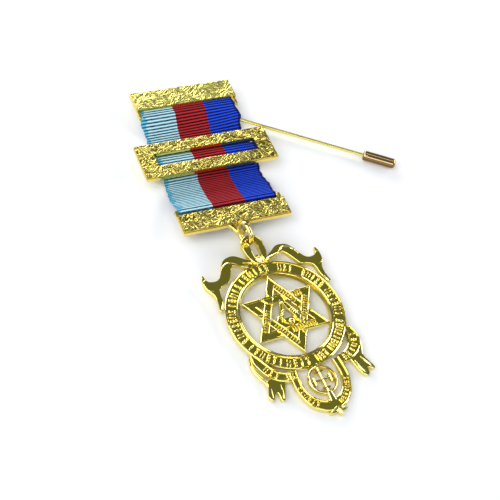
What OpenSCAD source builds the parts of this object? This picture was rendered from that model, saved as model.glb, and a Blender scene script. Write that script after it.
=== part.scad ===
// Breast jewel on a three-colour ribbon: a brooch bar with a stick pin, a slide bar,
// a lower bar and a pierced cast pendant, laid out on a flat surface.
// X runs along the bars, Y up the jewel towards the brooch bar, Z up from the surface.

/* [Bars] */
// Width of the brooch bar and of the lower bar
bar_w = 33.6; // [28:0.2:40]
// Height of the brooch bar's face
top_h = 7.2; // [6:0.1:9]
// Height of the lower bar's face
low_h = 6.2; // [5:0.1:8]
// Depth of both bars from face to back edge
bar_t = 1.9; // [1.7:0.05:2.4]
// Thickness of the face plate over the hollow back
plate_t = 1.1; // [0.9:0.05:1.3]
// Width of the end walls and of the posts that carry the rail
post_w = 1; // [0.8:0.05:1.4]
// Clear height of the ribbon slot between face and rail
slot_h = 1.8; // [1.4:0.1:2.4]
// Diameter of the rail that the ribbon rides over
rail_d = 1; // [0.8:0.05:1.2]
// Height of the cast leaves above a bar's face
leaf_h = 0.25; // [0.1:0.05:0.4]
// Distance between the middle of one bar and the middle of the next
bar_pitch = 24.8; // [23.5:0.1:27]

/* [Slide bar] */
// Width of the slide bar
slide_w = 42.8; // [40:0.2:48]
// Height of the slide bar
slide_h = 12.9; // [11:0.1:15]
// Thickness of the slide bar's frame
slide_t = 1.7; // [1.3:0.05:2]
// Width of the window
window_w = 32.7; // [31.8:0.1:34]
// Height of the window
window_h = 4.8; // [4.2:0.1:6]
// Width of the strap behind the ribbon
strap_w = 3.6; // [2.5:0.1:4.5]
// Thickness of the strap
strap_t = 0.8; // [0.5:0.05:0.9]

/* [Ribbon] */
// Width of the ribbon
ribbon_w = 31.3; // [28:0.1:31.5]
// Thickness of the ribbon
ribbon_t = 0.4; // [0.3:0.05:0.5]
// Gap that the ribbon keeps from metal
ribbon_gap = 0.06; // [0.03:0.01:0.12]

/* [Pin and clutch] */
// Diameter of the pin's wire
pin_d = 1.05; // [0.8:0.05:1.2]
// Length of the pin from its root to its point
pin_len = 74; // [68:0.5:78]
// Angle of the pin below the line of the bars
pin_angle = 34; // [31:0.5:37]
// Length of the bare taper at the pin's point
point_len = 2; // [1.5:0.1:3]
// Diameter of the clutch
clutch_d = 3.3; // [2.8:0.1:3.6]
// Length of the clutch
clutch_len = 10.8; // [9.6:0.1:12]
// Depth of the clutch's bore
clutch_bore = 8.4; // [7.5:0.1:8.8]
// Radial running clearance between pin and bore
clutch_gap = 0.05; // [0.02:0.01:0.08]
// Radius of the clutch's rounded end
clutch_round = 1.1; // [0.5:0.1:1.3]

/* [Jump ring] */
// Diameter of the jump ring's wire
link_d = 1.4; // [1:0.05:1.5]
// Outside diameter of the jump ring
link_od = 7.9; // [7.4:0.1:8.6]
// Turn of the jump ring away from the jewel's long axis
link_turn = 10; // [0:1:14]
// Radius of the hole in the lug
lug_hole_r = 1.5; // [1.3:0.05:1.6]
// Width of metal round that hole
lug_rim = 1.2; // [0.9:0.05:1.5]

/* [Pendant] */
// Outside diameter of the pendant's ring
ring_od = 34.2; // [32:0.2:37]
// Width of the ring's band
ring_band = 3.8; // [3.4:0.1:4.4]
// Thickness of the casting
cast_t = 1.6; // [1.4:0.05:2]
// Depth of the sunk fields between raised rims
field_drop = 0.45; // [0.2:0.05:0.6]
// Width of a raised rim
rim_w = 0.5; // [0.3:0.05:0.6]
// Width of the star's bars
star_w = 1.9; // [1.6:0.05:2.2]
// Beads and bars round the ring
ring_beads = 40; // [24:2:48]
// Outside width of the loop
loop_w = 6.6; // [6:0.1:7.4]
// Width of the loop's metal
loop_band = 1.3; // [1.1:0.05:1.5]
// Height of the loop's top above the ring's middle
loop_top = 26.8; // [26:0.1:28]
// Depth of the bottom scroll below the ring's middle
shield_drop = 30.2; // [28.5:0.1:31.5]
// Outside width of the bottom scroll
shield_w = 16; // [14.5:0.1:17]
// Outside diameter of the small ring
small_od = 8.4; // [7.6:0.1:9]
// Turn of the pendant in its own plane
pendant_turn = 2; // [0:0.5:4]

/* [Hidden] */
$fn = 48;
gold = "gold";

// Heights above the surface, from the clutch that lies on it up to the faces
pin_clear = 0.25;
sink = 0.1;
pin_z = clutch_d/2;
rail_z = pin_z + pin_d/2 + pin_clear + rail_d/2;
rail_top = rail_z + rail_d/2;
face_z = rail_top + ribbon_gap + ribbon_t + plate_t - sink;
back_z = face_z - bar_t;
hollow_z = face_z - plate_t;
tuck_z = hollow_z - ribbon_t - ribbon_gap;
slide_back_z = face_z - slide_t;
face_clear = 0.45;

// Places of the bars: sideways lean and small turns as the soft ribbon lets them lie
slide_y = 60;
top_y = slide_y + bar_pitch;
low_y = slide_y - bar_pitch + 0.1;
top_x = 0.9;
slide_x = -0.4;
low_x = -0.9;
top_turn = 0.8;
low_turn = -0.6;
rail_off = slot_h + rail_d/2;
top_rail_y = top_y - top_h/2 - rail_off;
low_rail_y = low_y + low_h/2 + rail_off;

// Pin root on the back of the brooch bar, and the clutch's mouth
pad_w = 6;
pad_h = 3.2;
pad_in = 1.2;
root_in = 4.6;
root_x = top_x - root_in;
root_y = top_y + top_h/2 - pad_in - sink;
end_room = 0.4;
mouth_at = pin_len - clutch_bore + end_room;

// Jump ring between the lug's hole and the pendant's loop
link_r = (link_od - link_d)/2;
lug_x = low_x;
lug_y = low_y - low_h/2 - 0.8;
link_rise = 0.4;
link_y = lug_y - link_r + link_rise;
link_x = lug_x + 0.35;

// Pendant: its loop hangs in the ring, its foot rests on the surface
ring_r = ring_od/2;
hole_r = ring_r - ring_band;
field_z = cast_t - field_drop;
tie_drop = 1.8;
foot_y = shield_drop + tie_drop;
scroll_x = 0.5;
tie_x = 0.4;
star_rim = 0.4;
loop_t = cast_t + 0.3;
loop_ease = 1;
link_clear = 0.3;
loop_mid_z = link_d + link_clear + loop_t/3;
link_reach = link_y - sqrt(pow(link_r, 2) - pow(link_r + link_d/2 - loop_mid_z, 2));
pendant_y = link_reach + link_d/2 + link_clear - (loop_top - loop_band);
pendant_x = 1;
tilt = asin((link_d + link_clear)/(foot_y + loop_top - loop_band));

// Middle of the whole jewel's plan, so that its origin lies under it
min_x = slide_x - slide_w/2;
clutch_end = mouth_at + clutch_len - clutch_round;
max_x = root_x + clutch_end*cos(pin_angle) + (clutch_d/2 - clutch_round)*sin(pin_angle) + clutch_round;
foot_x = scroll_x + tie_x + 0.3;
min_y = pendant_y - foot_y*cos(pendant_turn) + foot_x*sin(pendant_turn);
max_y = top_y + top_h/2*cos(top_turn) + bar_w/2*sin(top_turn);
mid = [(min_x + max_x)/2, (min_y + max_y)/2];

function reversed(v) = [for (i = [len(v) - 1:-1:0]) v[i]];

// Smooth curve through rows of numbers, n steps to a span
function bend(a, b, c, d, t) =
    0.5*(2*b + (c - a)*t + (2*a - 5*b + 4*c - d)*t*t + (3*b - a - 3*c + d)*t*t*t);
function smooth(rows, n) = let (last = len(rows) - 1) concat(
    [for (i = [0:last - 1]) for (k = [0:n - 1])
        bend(rows[max(i - 1, 0)], rows[i], rows[i + 1], rows[min(i + 2, last)], k/n)],
    [rows[last]]);

// One edge of a strip whose rows are [x, y, half width]
function edge(path, s) = [for (i = [0:len(path) - 1])
    let (a = path[max(i - 1, 0)], b = path[min(i + 1, len(path) - 1)],
         d = [b[0] - a[0], b[1] - a[1]], n = [-d[1], d[0]]/norm(d))
    [path[i][0] + s*path[i][2]*n[0], path[i][1] + s*path[i][2]*n[1]]];
function strip(rows, inset = 0, n = 3) =
    let (p = [for (r = smooth(rows, n)) [r[0], r[1], max(r[2] - inset, 0.04)]])
    concat(edge(p, 1), reversed(edge(p, -1)));

module flat_strip(rows, top, bottom = 0) {
    translate([0, 0, bottom]) linear_extrude(top - bottom) polygon(strip(rows));
}

module rimmed_strip(rows, top) {
    flat_strip(rows, top - field_drop);
    linear_extrude(top) difference() {
        polygon(strip(rows));
        polygon(strip(rows, rim_w));
    }
}

module both_sides() {
    children();
    mirror([1, 0, 0]) children();
}

// Sets a piece of the given colour on the plan whose middle is the origin
module laid(tint) {
    color(tint) translate([-mid[0], -mid[1], 0]) children();
}

// Cast leaves in rows over a face, each a short bar turned its own way
module leaves(w, h, cols, rows) {
    step_x = w/cols;
    step_y = h/rows;
    for (i = [0:cols - 1]) {
        for (j = [0:rows - 1]) {
            translate([(i + 0.5)*step_x - w/2, (j + 0.5)*step_y - h/2, 0])
                rotate([0, 0, 180*sin(97*i + 61*j)])
                    cube([step_x*0.62, step_y*0.3, 2*leaf_h], center = true);
        }
    }
}

// A bar with a hollow back: face plate, end walls and far wall, posts and rail
module ribbon_bar(h) {
    difference() {
        translate([-bar_w/2, -h/2, back_z]) cube([bar_w, h, bar_t]);
        translate([-bar_w/2 + post_w, -h/2 - 1, back_z - 1])
            cube([bar_w - 2*post_w, h - post_w + 1, hollow_z - back_z + 1]);
    }
    for (s = [-1, 1]) {
        translate([s*(bar_w - post_w)/2 - post_w/2, -h/2 - slot_h - rail_d/2, rail_z - rail_d/2])
            cube([post_w, slot_h + rail_d/2 + 1, rail_d + 0.3]);
    }
    translate([-bar_w/2, -h/2 - slot_h - rail_d/2, rail_z])
        rotate([0, 90, 0]) cylinder(d = rail_d, h = bar_w);
    translate([0, 0, face_z]) leaves(bar_w - 1, h - 0.8, 15, 3);
}

// Straight pin on a pad that is soldered under the far wall
module stick_pin() {
    translate([-pad_w/2, -pad_h + pad_in, pin_z]) cube([pad_w, pad_h, back_z - pin_z + 0.2]);
    rotate([0, 0, -pin_angle]) translate([-2, 0, pin_z]) rotate([0, 90, 0]) {
        cylinder(d = pin_d, h = pin_len + 2 - point_len);
        translate([0, 0, pin_len + 2 - point_len])
            cylinder(d1 = pin_d, d2 = 0.2, h = point_len);
    }
}

module brooch_bar() {
    laid(gold) {
        translate([top_x, top_y, 0]) rotate([0, 0, top_turn]) ribbon_bar(top_h);
        translate([root_x, root_y, 0]) stick_pin();
    }
}

module lower_bar() {
    laid(gold) {
        difference() {
            union() {
                translate([low_x, low_y, 0]) rotate([0, 0, 180 + low_turn]) ribbon_bar(low_h);
                translate([lug_x, lug_y, back_z]) lug();
            }
            translate([lug_x, lug_y, back_z - 1]) cylinder(r = lug_hole_r, h = bar_t + 2);
        }
    }
}

// Round lug with a web up into the bar
module lug() {
    lug_r = lug_hole_r + lug_rim;
    lug_t = bar_t - 0.5;
    cylinder(r = lug_r, h = lug_t);
    linear_extrude(lug_t) difference() {
        translate([-lug_r - 1, -0.4]) square([2*lug_r + 2, 1.4]);
        for (s = [-1, 1]) translate([s*(lug_r + 1.1), -0.5]) circle(r = 1.2);
    }
}

module slide_bar() {
    post = [2.2, strap_w];
    post_x = (window_w + slide_w)/4 - 0.6;
    strap_z = strap_low();
    laid(gold) translate([slide_x, slide_y, 0]) {
        difference() {
            translate([-slide_w/2, -slide_h/2, slide_back_z]) cube([slide_w, slide_h, slide_t]);
            translate([-window_w/2, -window_h/2, slide_back_z - 1])
                cube([window_w, window_h, slide_t + 2]);
        }
        for (s = [-1, 1]) {
            translate([s*post_x - post[0]/2, -post[1]/2, strap_z])
                cube([post[0], post[1], slide_back_z - strap_z + 0.3]);
            translate([0, s*(slide_h + window_h)/4, face_z])
                leaves(slide_w - 1, (slide_h - window_h)/2 - 0.4, 20, 2);
            translate([s*(slide_w + window_w)/4, 0, face_z])
                leaves((slide_w - window_w)/2 - 0.6, window_h, 2, 3);
        }
        translate([-post_x, -post[1]/2, strap_z]) cube([2*post_x, post[1], strap_t]);
    }
}
// The strap lies far enough under the frame for the ribbon to pass between them
function strap_low() = slide_back_z - face_clear - ribbon_t - ribbon_gap - strap_t;

// Ribbon: rows of [y, underside at the left edge, underside at the right edge, x, turn]
module ribbon() {
    crest = rail_top + ribbon_gap;
    over = strap_low() + strap_t + ribbon_gap;
    lift = pin_z + pin_d/2 + 0.12;
    tab = 5;
    rows = [
        [top_rail_y + rail_off + tab, tuck_z, tuck_z, top_x, top_turn],
        [top_rail_y + rail_off + 1, tuck_z, tuck_z, top_x, top_turn],
        [top_rail_y + rail_off - 0.6, tuck_z + 0.03, tuck_z + 0.03, top_x, top_turn],
        [top_rail_y + 0.5, crest - 0.03, crest - 0.03, top_x, top_turn],
        [top_rail_y, crest, crest, top_x, top_turn],
        [top_rail_y - 0.5, crest - 0.08, crest - 0.06, top_x, top_turn],
        [top_rail_y - 1.6, crest - 0.6, crest - 0.3, top_x - 0.1, top_turn],
        [top_rail_y - 4.4, 1.1, lift + 0.35, top_x - 0.3, top_turn*0.8],
        [top_rail_y - 6.6, 0.35, lift - 0.5, top_x - 0.45, top_turn*0.6],
        [top_rail_y - 8.6, 0.02, 0.35, top_x - 0.55, top_turn*0.4],
        [slide_y + slide_h/2 + 1.4, 0.15, 0.2, top_x - 0.65, 0.1],
        [slide_y + strap_w/2 + 2, 1.1, 1.1, slide_x + 0.6, 0],
        [slide_y + strap_w/2, over, over, slide_x + 0.6, 0],
        [slide_y, over, over, slide_x + 0.6, 0],
        [slide_y - strap_w/2, over, over, slide_x + 0.55, 0],
        [slide_y - strap_w/2 - 2.2, 1, 1, slide_x + 0.4, 0],
        [slide_y - slide_h/2 - 0.4, 0.1, 0.1, slide_x + 0.2, 0],
        [slide_y - slide_h/2 - 2.6, 0.3, 0.3, slide_x, low_turn*0.3],
        [low_rail_y + 8, 0.9, 0.9, low_x + 0.35, low_turn*0.5],
        [low_rail_y + 4, 2, 2, low_x + 0.1, low_turn*0.8],
        [low_rail_y + 1.4, crest - 0.45, crest - 0.45, low_x, low_turn],
        [low_rail_y + 0.5, crest - 0.06, crest - 0.06, low_x, low_turn],
        [low_rail_y, crest, crest, low_x, low_turn],
        [low_rail_y - 0.5, crest - 0.03, crest - 0.03, low_x, low_turn],
        [low_rail_y - rail_off + 0.6, tuck_z + 0.03, tuck_z + 0.03, low_x, low_turn],
        [low_rail_y - rail_off - 1, tuck_z, tuck_z, low_x, low_turn],
        [low_rail_y - rail_off - 3.6, tuck_z, tuck_z, low_x, low_turn]];
    path = smooth(rows, 2);
    count = len(path);
    cross = 8;
    ring = 2*(cross + 1);
    points = [for (i = [0:count - 1]) each ribbon_section(path, i, cross)];
    skin = [for (i = [0:count - 2]) for (k = [0:ring - 1])
        [i*ring + k, i*ring + (k + 1) % ring, (i + 1)*ring + (k + 1) % ring, (i + 1)*ring + k]];
    ends = [[for (k = [ring - 1:-1:0]) k], [for (k = [0:ring - 1]) (count - 1)*ring + k]];
    laid("royalblue") polyhedron(points, concat(skin, ends), convexity = 6);
}
// One section: the underside from left to right, then the face from right to left
function ribbon_section(path, i, cross) =
    let (a = path[max(i - 1, 0)], b = path[min(i + 1, len(path) - 1)], r = path[i],
         dy = b[0] - a[0], dz = (b[1] + b[2] - a[1] - a[2])/2, l = norm([dy, dz]),
         up = [-dz/l*sign(-dy), abs(dy)/l]*ribbon_t,
         under = [for (k = [0:cross]) let (u = k/cross, x = (u - 0.5)*ribbon_w)
            [r[3] + x*cos(r[4]), r[0] + x*sin(r[4]), r[1] + (r[2] - r[1])*pow(u, 3)]])
    concat(under, [for (k = [cross:-1:0]) under[k] + [0, -up[0], up[1]]]);

module jump_ring() {
    laid(gold) translate([link_x, link_y, link_r + link_d/2]) rotate([0, 0, link_turn])
        rotate([0, 90, 0]) rotate_extrude() translate([link_r, 0]) circle(d = link_d);
}

module pin_clutch() {
    bore_r = pin_d/2 + clutch_gap;
    laid("darkgoldenrod") translate([root_x, root_y, pin_z]) rotate([0, 0, -pin_angle])
        translate([mouth_at, 0, 0]) rotate([0, 90, 0]) difference() {
            rotate_extrude() clutch_profile();
            translate([0, 0, -1]) cylinder(r = bore_r, h = clutch_bore + 1);
            translate([0, 0, -0.01]) cylinder(r1 = bore_r + 0.4, r2 = bore_r, h = 0.4);
        }
}
module clutch_profile() {
    r = clutch_d/2;
    polygon([[0, 0], [r - 0.25, 0], [r, 0.25], [r, clutch_len - clutch_round],
        [0, clutch_len - clutch_round]]);
    translate([0, clutch_len - clutch_round - 0.01])
        square([r - clutch_round, clutch_round + 0.01]);
    intersection() {
        translate([r - clutch_round, clutch_len - clutch_round]) circle(r = clutch_round);
        translate([0, clutch_len - clutch_round - 0.01]) square([r, clutch_round + 0.01]);
    }
}

// The pendant's tables are in shares of the ring's radius: [x, y, half width]
function scaled(rows) = [for (r = rows) r*ring_r];

bow_rows = [[0.06, 1.06, 0.02], [0.2, 1.1, 0.035], [0.34, 1.18, 0.05], [0.46, 1.2, 0.06],
    [0.58, 1.14, 0.08], [0.67, 1.02, 0.09], [0.77, 0.9, 0.085], [0.89, 0.85, 0.07],
    [0.99, 0.88, 0.055], [1.045, 0.97, 0.035], [1.05, 1.06, 0.004]];
tail_rows = [[0.42, 1.13, 0.02], [0.5, 1.04, 0.03], [0.56, 0.92, 0.032], [0.67, 0.81, 0.035],
    [0.81, 0.74, 0.036], [0.89, 0.62, 0.04], [0.95, 0.5, 0.042], [0.99, 0.4, 0.045],
    [1.01, 0.33, 0.03]];
scroll_rows = [[0.84, -0.52, 0.03], [0.865, -0.63, 0.055], [0.85, -0.76, 0.085],
    [0.79, -0.9, 0.095], [0.68, -1, 0.095], [0.55, -1.04, 0.085], [0.42, -1.06, 0.08]];
fork_rows = [[0.73, -0.97, 0.095], [0.75, -1.08, 0.1], [0.775, -1.18, 0.105]];
prong_rows = [[0.83, -1.15, 0.05], [0.87, -1.24, 0.042], [0.918, -1.315, 0.012]];
inner_prong_rows = [[0.745, -1.15, 0.055], [0.765, -1.26, 0.045], [0.795, -1.37, 0.012]];

module ring() {
    rotate_extrude($fn = 96) polygon([[hole_r - 0.8, 0], [hole_r - 0.8, 0.5],
        [hole_r, cast_t - 0.35], [hole_r, cast_t], [hole_r + rim_w, cast_t],
        [hole_r + rim_w, field_z], [ring_r - rim_w, field_z], [ring_r - rim_w, cast_t],
        [ring_r, cast_t], [ring_r, 0.3], [ring_r - 0.3, 0]]);
    mid_r = (hole_r + ring_r)/2;
    bead_l = ring_band - 2*rim_w - 0.7;
    for (i = [0:ring_beads - 1]) {
        if (i % 5 != 4) {
            rotate([0, 0, (i + 0.5)*360/ring_beads]) translate([mid_r, 0, field_z - 0.1])
                linear_extrude(field_drop + 0.05) square([bead_l, 1.1], center = true);
        }
    }
}

// Triangular frame whose outer edge lies inset inside the star's, for one half of the star
module frame_2d(outer, inner) {
    reach = hole_r - 0.75;
    difference() {
        circle(r = reach - 2*outer, $fn = 3);
        circle(r = reach - 2*inner, $fn = 3);
    }
}

// One of the star's two triangles: a sunk channel between rims, with a row of beads in it
module triangle(turn, drop) {
    low = field_z + 0.1 - drop;
    side = (hole_r - 0.75)/2;
    rotate([0, 0, turn]) {
        linear_extrude(low) frame_2d(0, star_w);
        linear_extrude(cast_t - 0.1 - drop) {
            frame_2d(0, star_rim);
            frame_2d(star_w - star_rim, star_w);
        }
        for (t = [60:120:300]) {
            for (i = [-3:3]) {
                rotate([0, 0, t]) translate([side - star_w/2, i*1.6, low])
                    cube([star_w - 2*star_rim - 0.3, 0.9, 0.5], center = true);
            }
        }
    }
}

module compasses() {
    hinge_y = 3.9;
    translate([0, hinge_y, 0]) {
        cylinder(r = 0.75, h = cast_t);
        for (s = [-1, 1]) {
            rotate([0, 0, s*24]) translate([-0.42, -8.2, 0]) cube([0.84, 8.2, cast_t - 0.25]);
        }
    }
    // Half sun with rays between the legs
    translate([0, -1.4, 0]) {
        for (i = [-2:2]) {
            rotate([0, 0, i*24]) translate([-0.2, 0, 0]) cube([0.4, 3.4, cast_t - 0.45]);
        }
        cylinder(r = 1.3, h = cast_t - 0.15);
    }
    // Ground under the sun, filling the foot of the hexagon
    linear_extrude(field_z - 0.2) intersection() {
        circle(r = 5.2, $fn = 6);
        translate([-6, -6]) square([12, 5]);
    }
    for (s = [-1, 1]) {
        translate([s*3, -1.5, 0]) difference() {
            cylinder(r = 1.1, h = cast_t - 0.2);
            translate([0, 0, field_z - 0.2]) cylinder(r = 0.6, h = cast_t);
        }
    }
}

module star() {
    triangle(90, 0);
    triangle(-90, 0.12);
    compasses();
}

// Stirrup loop that the jump ring passes through
module loop() {
    outer_r = loop_w/2;
    inner_r = outer_r - loop_band;
    top = loop_top - outer_r;
    difference() {
        linear_extrude(loop_t) difference() {
            union() {
                translate([0, top]) circle(r = outer_r);
                polygon([[-outer_r, top], [outer_r, top], [outer_r - 0.5, ring_r + 1],
                    [1.5, ring_r - 0.4], [-1.5, ring_r - 0.4], [-outer_r + 0.5, ring_r + 1]]);
            }
            translate([0, top]) circle(r = inner_r);
            polygon([[-inner_r, top], [inner_r, top], [inner_r - 0.6, ring_r + 2.6],
                [-inner_r + 0.6, ring_r + 2.6]]);
        }
        // The underside is eased where the jump ring's wire curves up through the loop
        translate([0, top, -0.01]) cylinder(r1 = inner_r + loop_ease, r2 = inner_r, h = loop_ease);
    }
    for (i = [-1:1]) {
        translate([i*0.9, ring_r + 0.9, 0]) rotate([0, 0, -i*32])
            linear_extrude(loop_t + 0.2) polygon([[0, -1.2], [0.45, 0.4], [0, 1.7], [-0.45, 0.4]]);
    }
}

module bow() {
    both_sides() {
        flat_strip(scaled(bow_rows), cast_t);
        flat_strip(scaled(tail_rows), cast_t - 0.3);
    }
}

module scrolls() {
    both_sides() {
        rimmed_strip(scaled(scroll_rows), cast_t);
        flat_strip(scaled(fork_rows), cast_t - 0.3);
        flat_strip(scaled(prong_rows), cast_t - 0.3);
        flat_strip(scaled(inner_prong_rows), cast_t - 0.2);
    }
}

// Bottom scroll: a shield-shaped band, wider at its foot, with a small ring hung in it
shield_mid = -1.19*ring_r;
shield_band = 2.2;
function shield_half(a) = shield_band/2 + 0.4*pow(sin(a), 2);
function shield_at(a) = [(shield_w/2 - shield_band/2)*cos(a),
    shield_mid + (shield_drop + shield_mid - shield_half(a))*sin(a), shield_half(a)];

module shield() {
    side = shield_at(0)[0] - 0.3;
    brim = [side, -0.97*ring_r, shield_band/2];
    arc = [for (a = [0:-15:-180]) shield_at(a)];
    rimmed_strip(concat([brim], arc, [[-brim[0], brim[1], brim[2]]]), cast_t);
    for (i = [-5:5]) {
        if (abs(i) > 1) {
            at = shield_at(-90 + i*15);
            translate([at[0], at[1], field_z - 0.1]) rotate([0, 0, i*15])
                linear_extrude(field_drop + 0.05)
                    square([0.8, shield_band - 2*rim_w - 0.3], center = true);
        }
    }
    small_ring();
    tie();
}

// Small ring between the large ring and the foot of the band, round a plain cross
module small_ring() {
    r = small_od/2;
    wall = 0.8;
    arm_w = 0.7;
    end_w = 2.6;
    end_in = 1.9;
    tab_w = 1.6;
    foot = -shield_drop + 2*shield_half(90) - 0.3;
    translate([0, -ring_r - r + 0.5, 0]) {
        difference() {
            cylinder(r = r, h = cast_t);
            translate([0, 0, -1]) cylinder(r = r - wall, h = cast_t + 2);
        }
        for (t = [0:90:270]) {
            rotate([0, 0, t]) {
                translate([-arm_w/2, 0, 0]) cube([arm_w, r - wall/2, cast_t - 0.2]);
                translate([-end_w/2, r - end_in, 0]) cube([end_w, arm_w, cast_t - 0.2]);
            }
        }
    }
    translate([-tab_w/2, foot, 0]) cube([tab_w, -ring_r - 2*r + 0.9 - foot, cast_t - 0.1]);
}

// Small tie under the band: two leaves and a tail
module tie() {
    translate([tie_x, -shield_drop, 0]) {
        both_sides() flat_strip([[0, 0.4, 0.7], [1.3, -0.2, 0.6], [2.6, -0.3, 0.25]], cast_t - 0.2);
        flat_strip([[0, 0.4, 0.6], [0.3, -0.8, 0.5], [0.5, -tie_drop, 0.2]], cast_t - 0.3);
    }
}

module pendant() {
    laid(gold) translate([pendant_x, pendant_y, 0]) rotate([0, 0, pendant_turn])
        translate([0, -foot_y, 0]) rotate([tilt, 0, 0]) translate([0, foot_y, 0]) {
            ring();
            star();
            loop();
            bow();
            translate([scroll_x, 0, 0]) {
                scrolls();
                shield();
            }
        }
}

brooch_bar();
ribbon();
slide_bar();
lower_bar();
jump_ring();
pendant();
pin_clutch();
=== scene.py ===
# %% [markdown]
# # A breast jewel in gilt metal and corded silk
#
# The real object is a medal-like jewel. A pierced casting hangs from a jump ring, under a silk
# ribbon that rides over two cast bars and through a third. A long pin is soldered behind the top
# bar. It lies on a white table. The bars and wires are hard, bright metal, so nearly all that the
# eye sees on them is a reflection: what matters is which way each small facet looks. So the
# rims, the leaves on the bars and the ribs of the silk are real surfaces here, and only grain
# that is finer than a tenth of a millimetre is left to bump.

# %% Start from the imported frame
from collections import namedtuple

import bmesh
import bpy
import numpy as np
from mathutils import Matrix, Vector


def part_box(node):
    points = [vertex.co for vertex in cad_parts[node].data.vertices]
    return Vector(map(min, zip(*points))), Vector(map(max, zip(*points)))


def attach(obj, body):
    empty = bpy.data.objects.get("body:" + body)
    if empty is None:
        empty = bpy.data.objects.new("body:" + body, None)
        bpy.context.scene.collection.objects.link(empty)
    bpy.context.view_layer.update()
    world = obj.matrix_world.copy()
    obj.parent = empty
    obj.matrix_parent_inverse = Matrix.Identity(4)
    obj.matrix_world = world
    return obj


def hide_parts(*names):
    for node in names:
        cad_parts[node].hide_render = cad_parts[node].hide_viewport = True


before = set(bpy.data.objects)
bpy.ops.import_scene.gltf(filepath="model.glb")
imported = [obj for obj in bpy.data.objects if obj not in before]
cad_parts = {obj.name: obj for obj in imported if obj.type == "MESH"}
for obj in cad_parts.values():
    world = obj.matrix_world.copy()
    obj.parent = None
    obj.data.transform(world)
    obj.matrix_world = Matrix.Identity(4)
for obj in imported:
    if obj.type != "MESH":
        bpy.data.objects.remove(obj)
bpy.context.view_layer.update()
print("nodes in the frame:", sorted(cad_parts))

# %% [markdown]
# Every piece is worked out on one plan in millimetres, X along the bars and Y up the jewel. The
# plan is tied to the frame by the middle of the slide bar, so no place has to be fitted by hand.
# The top of that bar gives the height of all three faces, once the leaves' height is taken off.

# %% The working plan
MM = 0.001
LEAF_H = 0.25
SLIDE_AT = np.array([-0.4, 60.0])
slide_low, slide_high = (np.array(corner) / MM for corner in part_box("slide_bar"))
SHIFT = np.append((slide_low + slide_high)[:2] / 2 - SLIDE_AT, 0.0)
FACE = slide_high[2] - LEAF_H
print("plan shift", SHIFT.round(3), "mm; the bars' faces are", round(FACE, 3), "mm up")


def to_frame(points):
    """Plan millimetres to metres in the frame: shift, then scale."""
    return (np.asarray(points, float) + SHIFT) * MM


def cos_sin(turn):
    """Cosine and sine of an angle in degrees."""
    return np.cos(np.radians(turn)), np.sin(np.radians(turn))


# %% [markdown]
# ## From numbers to a mesh
#
# A patch is one closed skin: a grid of points, its four-cornered faces, and the caps that close
# its ends. A piece is many patches in one mesh. Welding them is not needed, because on polished
# metal the eye reads the line where two skins meet as a cast seam.

# %% Patches and pieces
Patch = namedtuple("Patch", "points quads caps sunk")


def grid_quads(rows, cols, wrap_rows=False, wrap_cols=False):
    """Corner numbers of each face of a grid: point (i, j) with its neighbours at i + 1 and j + 1."""
    i, j = np.meshgrid(np.arange(rows if wrap_rows else rows - 1),
                       np.arange(cols if wrap_cols else cols - 1), indexing="ij")
    a, b, j1 = i * cols, (i + 1) % rows * cols, (j + 1) % cols
    return np.stack([a + j, a + j1, b + j1, b + j], -1).reshape(-1, 4)


def skin(points, wrap_rows=False, wrap_cols=True, sunk=None, capped=True):
    """A patch from a grid of points (rows, cols, 3); open row ends are closed with a cap."""
    rows, cols = points.shape[:2]
    last = (rows - 1) * cols
    caps = [] if wrap_rows or not capped else [
        list(range(cols - 1, -1, -1)), list(range(last, last + cols))]
    shade = np.zeros((rows, cols)) if sunk is None else np.broadcast_to(sunk, (rows, cols))
    return Patch(points.reshape(-1, 3), grid_quads(rows, cols, wrap_rows, wrap_cols), caps,
                 shade.reshape(-1))


def moved(patch, change):
    """The same patch with its points sent through a function."""
    return patch._replace(points=change(patch.points))


# %% [markdown]
# Each skin gets its faces turned outwards, and edges sharper than a set angle stay sharp.

# %% Making a piece
def mesh_of(name, patches, crease):
    """One mesh from many patches: points stacked, face numbers moved up by the points before them."""
    starts = np.cumsum([0] + [len(p.points) for p in patches])
    faces = [f for p, s in zip(patches, starts) for f in (p.quads + s).tolist()]
    faces += [[k + int(s) for k in cap] for p, s in zip(patches, starts) for cap in p.caps]
    mesh = bpy.data.meshes.new(name)
    mesh.from_pydata(to_frame(np.vstack([p.points for p in patches])), [], faces)
    work = bmesh.new()
    work.from_mesh(mesh)
    bmesh.ops.recalc_face_normals(work, faces=work.faces)
    work.to_mesh(mesh)
    work.free()
    shade = mesh.attributes.new("sunk", "FLOAT", "POINT")
    shade.data.foreach_set("value", np.concatenate([p.sunk for p in patches]).astype(np.float32))
    mesh.shade_smooth()
    mesh.set_sharp_from_angle(angle=np.radians(crease))
    return mesh


def make(name, patches, material, node=None, body="jewel", crease=32):
    """A named piece on its body, in its material, standing for the frame's node of that name."""
    piece = bpy.data.objects.new(name, mesh_of(name, patches, crease))
    bpy.context.collection.objects.link(piece)
    piece.data.materials.append(material)
    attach(piece, body)
    if node:
        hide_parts(node)
    print(name, "has", len(piece.data.polygons), "faces")
    return piece


# %% [markdown]
# ## Two ways to make a hard form
#
# A slab is an outline that is carried upwards, drawn in or let out a little at each level, so
# that a bevel costs only one more level. A strip is a section carried along a smooth line: its
# points keep their distance from the strip's edge, so a rim stays as wide where the strip narrows.

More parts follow.
